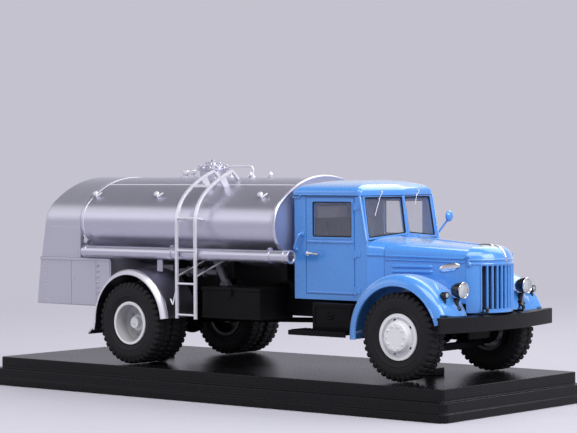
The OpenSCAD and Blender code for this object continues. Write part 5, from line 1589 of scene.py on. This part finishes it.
class MakePipework(bpy.types.Operator):
    """Suction pipes and tank saddles"""

    bl_idname = "tanker.pipework"
    bl_label = "Pipes and saddles"

    def execute(self, context):
        z = TANK_Z - TANK_B - 1
        top = 25.4
        foot = REAR_X + 28.9
        pipe = wire([(foot, PIPE_Y, top + 0.6), (foot - 5.4, PIPE_Y, 36.0)], 1.1, "pipe_grey", sides=20)
        pipe.plus(wire([(REAR_X + 9.6, PIPE_Y, z), (REAR_X + 25.8, PIPE_Y, z)], 1.0, "pipe_grey", sides=20))
        for x in (REAR_X + 13.4, REAR_X + 20.4):
            pipe.plus(turned([(1.0, -0.4), (1.6, -0.4), (1.7, -0.3), (1.7, 0.3), (1.6, 0.4), (1.0, 0.4)], 28,
                             (x, PIPE_Y, z), FORWARD))
            pipe.plus(ring_of(hex_nut(0.2, 0.25), 6, 1.35, "pipe_grey",
                              place=place_at((x + 0.38, PIPE_Y, z), FORWARD)))
        pipe.plus(turned([(0, 0.05), (1.9, 0.05), (1.9, 0.8), (1.7, 1.1), (1.3, 1.3), (1.2, 2.0)], 28,
                         (foot, PIPE_Y, top)))
        piece("suction_pipes", pipe.both(), "pipe_grey", stands_for=["pump_pipes"])
        piece("tank_cradles", cad("tank_saddles").bevel(0.15, 40), "chassis_black", stands_for=["tank_saddles"])
        return {"FINISHED"}


def wheel_place(x, half, side):
    """Place of a wheel whose z axis points outward."""
    turn = Matrix(((1, 0, 0), (0, 0, side), (0, -side, 0))).to_4x4()
    return Matrix.Translation((x, side * half, WHEEL_Z)) @ turn


def tyre_form(material, offset=0.0, turn=0.0):
    """Lugged tyre round the z axis."""
    base = TYRE_R - 0.42
    half = [(base, 0.0), (base, 1.2), (base - 0.03, 2.2), (base - 0.3, 2.9), (11.5, 3.22), (10.95, 3.36),
            (10.7, 3.44), (10.2, 3.45), (9.5, 3.42), (9.0, 3.34), (8.9, 3.4), (8.7, 3.4), (8.6, 3.28), (8.0, 3.08),
            (7.4, 2.82), (6.95, 2.56), (6.7, 2.4), (RIM_R, 2.2)]
    profile = half + [(RIM_R, -2.2)] + [(r, -h) for r, h in half[:0:-1]][1:]
    tyre = turned(profile, 96, closed=True)
    count = detail().lug_count
    outline = [(12.2, 0.3), (TYRE_R - 0.05, 0.45), (TYRE_R - 0.01, 1.6), (TYRE_R - 0.02, 2.75),
               (TYRE_R - 0.28, 3.08), (12.15, 3.3), (11.5, 3.38), (11.3, 3.1), (12.2, 2.7)]
    slant = [-0.3, -0.28, -0.05, 0.08, 0.1, 0.1, 0.1, 0.0, 0.0]
    lug = loft([[(r - (sink if r > 12.5 else 0), s * (0.64 if r > 12.0 else 0.5) + k,
                  h - (0.12 * sink if h > 3 else 0)) for (r, h), k in zip(outline, slant)]
                for s, sink in ((-1, 0.3), (-0.72, 0.03), (0.72, 0.03), (1, 0.3))])
    step = 2 * pi / count
    for up, start in ((1, turn), (-1, turn + step / 2)):
        one = lug.copied()
        if up < 0:
            one.moved(Matrix.Scale(-1, 4, (0, 0, 1)) @ Matrix.Scale(-1, 4, (0, 1, 0)))
        tyre.plus(ring_of(one, count, 0.0, material, start))
    lug.bm.free()
    return tyre.moved(Matrix.Translation((0, 0, offset)))


def nut_ring(radius, height, r, h):
    """Wheel nuts on their washers, round the z axis."""
    nut = hex_nut(r, h).plus(turned([(r * 1.3, -0.1), (r * 1.3, 0.08), (r, 0.1)], 10))
    count = detail().nut_count
    return ring_of(nut, count, radius, "wheel_front", place=Matrix.Translation((0, 0, height)))


def rim_lip(h):
    """Rolled outer edge of a rim."""
    return turned([(RIM_R + 0.43, h + 2.55), (RIM_R + 0.5, h + 2.7), (RIM_R + 0.42, h + 2.98),
                   (RIM_R + 0.2, h + 3.02), (RIM_R + 0.02, h + 2.9), (RIM_R, h + 2.6)], 72, closed=True)


class MakeFrontWheels(bpy.types.Operator):
    """Front rims and lugged tyres"""

    bl_idname = "tanker.front_wheels"
    bl_label = "Front wheels"

    def execute(self, context):
        for name, side in SIDES:
            body = "front_" + name + "_wheel"
            place = wheel_place(0, FRONT_HALF, side)
            rim = cad("front_wheel_" + name, 0.1)
            work = nut_ring(3.3, 4.18, 0.3, 0.3)
            work.plus(rim_lip(0))
            work.plus(turned([(4.35, 1.2), (4.45, 3.3), (4.7, 2.7), (5.1, 2.3), (5.6, 2.1), (6.1, 2.15),
                              (6.45, 2.5), (6.45, 1.2)], 72, closed=True))
            # Dark discs on the web: painted shade where the vent holes show dark.
            vent = turned([(0, -0.3), (0.42, -0.3), (0.42, 0.03), (0, 0.04)], 16, (0, 0, 0), (0.45, 0, 1))
            vent_shade_discs = ring_of(vent, 5, 5.15, "chassis_black", radians(36), place=Matrix.Translation((0, 0, 2.3)))
            piece("front_rim_vents_" + name, vent_shade_discs.moved(place), "chassis_black", "wheel_white", body)
            piece("front_rim_" + name, rim.plus(work.moved(place)), "wheel_front", "wheel_white", body,
                  ["front_wheel_" + name], 30)
            piece("front_lugged_tyre_" + name, tyre_form("tyre_front").moved(place), "tyre_front", "tyre_black",
                  body, ["front_tyre_" + name], 35)
        return {"FINISHED"}


class MakeRearWheels(bpy.types.Operator):
    """Twin rear rims and lugged tyres"""

    bl_idname = "tanker.rear_wheels"
    bl_label = "Rear wheels"

    def execute(self, context):
        half = TWIN_PITCH / 2
        for name, side in SIDES:
            body = "rear_" + name + "_wheel"
            place = wheel_place(REAR_X, TWIN_HALF, side)
            rim = cad("rear_wheel_" + name, 0.1)
            work = nut_ring(4.0, half - 2.0, 0.42, 0.55)
            work.plus(rim_lip(half))
            work.plus(turned([(2.6, half - 2.1), (2.5, half - 1.5), (1.95, half - 1.2), (1.3, half - 0.9),
                              (1.0, half - 0.3), (0.95, half + 0.55), (0.8, half + 0.72), (0, half + 0.76)], 32))
            piece("rear_rims_" + name, rim.plus(work.moved(place)), "wheel_rear", "wheel_white", body,
                  ["rear_wheel_" + name], 30)
            tyres = tyre_form("tyre_rear", half).plus(tyre_form("tyre_rear", -half, 0.06))
            piece("rear_lugged_tyres_" + name, tyres.moved(place), "tyre_rear", "tyre_black", body,
                  ["rear_tyres_" + name], 35)
        return {"FINISHED"}


def light_world(scene, stage):
    """Soft light from all round; the camera, metal and glass see the backdrop instead."""
    world = bpy.data.worlds.new("studio")
    world.use_nodes = True
    scene.world = world
    kit = NodeKit(world.node_tree)
    kit.tree.nodes.clear()
    way = kit.node("ShaderNodeSeparateXYZ", None, {0: kit.node("ShaderNodeTexCoord").outputs["Generated"]})
    height = Val(kit, way.outputs[2])
    seen = kit.mix(height.over(0.2, 0.62), tone(stage.backdrop, 1.0), tone(stage.backdrop, 0.28))
    ray = kit.node("ShaderNodeLightPath").outputs
    shown = kit.value("ShaderNodeMath", {"operation": "MAXIMUM"},
                      {0: kit.value("ShaderNodeMath", {"operation": "MAXIMUM"},
                                    {0: ray["Is Camera Ray"], 1: ray["Is Glossy Ray"]}),
                       1: ray["Is Transmission Ray"]})
    far = kit.node("ShaderNodeBackground", None, {"Color": seen, "Strength": 1.0})
    soft = kit.node("ShaderNodeBackground", None, {"Color": (0.96, 0.97, 1, 1), "Strength": stage.ambient})
    both = kit.node("ShaderNodeMixShader", None, {0: shown, 1: soft.outputs[0], 2: far.outputs[0]})
    kit.node("ShaderNodeOutputWorld", None, {"Surface": both.outputs[0]})


def lay_floor(stage):
    """Paper floor that fades into the backdrop."""
    floor = Form()
    bmesh.ops.create_circle(floor.bm, cap_ends=True, segments=96, radius=6.0)
    obj = scratch(floor.moved(Matrix.Translation((0, 0, -0.0002))), "floor")
    ground = bpy.data.materials.new("floor_paper")
    ground.use_nodes = True
    kit = NodeKit(ground.node_tree)
    kit.tree.nodes.clear()
    place = kit.node("ShaderNodeTexCoord").outputs["Object"]
    away = kit.value("ShaderNodeVectorMath", {"operation": "LENGTH"}, {0: place}, out="Value")
    grain = kit.value("ShaderNodeTexNoise", None, {"Vector": place, "Scale": 30.0, "Detail": 3.0})
    pale = kit.mix(grain, tone(stage.floor, 0.97), tone(stage.floor, 1.02))
    paper = kit.node("ShaderNodeBsdfDiffuse", None, {"Color": pale})
    glow = kit.node("ShaderNodeEmission", None, {"Color": tone(stage.backdrop, 1.0), "Strength": 1.0})
    fade = kit.node("ShaderNodeMixShader", None,
                    {0: away.over(0.16, 0.6), 1: paper.outputs[0], 2: glow.outputs[0]})
    kit.node("ShaderNodeOutputMaterial", None, {"Surface": fade.outputs[0]})
    obj.data.materials.append(ground)


def hang_lamps(stage):
    """Large soft lamps, aimed at the lorry."""
    for name, power, size, spot in (("key", stage.lamp_power, (0.7, 0.45), (0.28, -0.36, 0.74)),
                                    ("back", stage.back_power, (0.95, 0.6), (0.05, 0.55, 0.7)),
                                    ("fill", stage.fill_power, (0.5, 0.5), (0.78, -0.05, 0.5)),
                                    ("band", stage.band_power, (0.7, 0.5), (-0.62, -0.52, 0.45))):
        lamp = bpy.data.lights.new(name, "AREA")
        lamp.shape = "RECTANGLE"
        lamp.size, lamp.size_y = size
        lamp.energy = power
        obj = linked(name, lamp)
        aim = Vector((0, 0, 0.04)) - Vector(spot)
        obj.rotation_euler = aim.to_track_quat("-Z", "Y").to_euler()
        obj.location = spot


def set_camera(scene, stage):
    """Camera at the photograph's viewing angle."""
    a, e, r = stage.yaw, stage.pitch, stage.roll
    behind = Vector((sin(a) * cos(e), -cos(a) * cos(e), sin(e)))
    right = (-behind).cross(Vector((0, 0, 1))).normalized()
    up = right.cross(-behind)
    right, up = right * cos(r) + up * sin(r), up * cos(r) - right * sin(r)
    view = Matrix((right, up, behind)).transposed().to_4x4()
    data = bpy.data.cameras.new("camera")
    data.sensor_fit, data.sensor_width, data.lens = "HORIZONTAL", 36.0, stage.lens
    data.clip_start, data.clip_end = 0.01, 50
    camera = linked("camera", data)
    camera.matrix_world = Matrix.Translation(stage.camera_at) @ view
    scene.camera = camera


class MakeStage(bpy.types.Operator):
    """Pale floor, soft studio light and the camera"""

    bl_idname = "tanker.stage"
    bl_label = "Stage"

    def execute(self, context):
        scene = context.scene
        stage = scene.tanker_stage
        scene.view_settings.view_transform = "Standard"
        light_world(scene, stage)
        lay_floor(stage)
        hang_lamps(stage)
        set_camera(scene, stage)
        return {"FINISHED"}


class TankerPanel(bpy.types.Panel):
    """Sizes, colours and pieces of the tanker"""

    bl_idname = "TANKER_PT_pieces"
    bl_label = "Tanker"
    bl_space_type = "VIEW_3D"
    bl_region_type = "UI"
    bl_category = "Tanker"

    def draw(self, context):
        for group in (context.scene.tanker_paint, context.scene.tanker_detail, context.scene.tanker_stage):
            column = self.layout.box().column()
            for key in group.__annotations__:
                column.prop(group, key)
        column = self.layout.column()
        for maker in MAKERS:
            column.operator(maker.bl_idname)


MAKERS = (MakeStage, MakePlinth, MakeChassis, MakeSideBoxes, MakeBumper, MakeCabShell, MakeCabRoof, MakeGlazing,
          MakeCabFittings, MakeCabInside, MakeBonnet, MakeRadiator, MakeFrontWings, MakeLamps, MakeTank,
          MakeTankTop, MakeLadder, MakeHoseTubes, MakeRearShroud, MakeRearLockers, MakeTailLamps, MakeRearWings,
          MakePipework, MakeFrontWheels, MakeRearWheels)
GROUPS = {"tanker_paint": TankerPaint, "tanker_detail": TankerDetail, "tanker_stage": TankerStage}


def register():
    for cls in (*GROUPS.values(), *MAKERS, TankerPanel):
        bpy.utils.register_class(cls)
    for name, group in GROUPS.items():
        setattr(bpy.types.Scene, name, PointerProperty(type=group))


def unregister():
    for name in GROUPS:
        delattr(bpy.types.Scene, name)
    for cls in (TankerPanel, *reversed(MAKERS), *GROUPS.values()):
        bpy.utils.unregister_class(cls)


def main():
    register()
    for maker in MAKERS:
        group, name = maker.bl_idname.split(".")
        getattr(getattr(bpy.ops, group), name)()


if __name__ == "__main__":
    main()
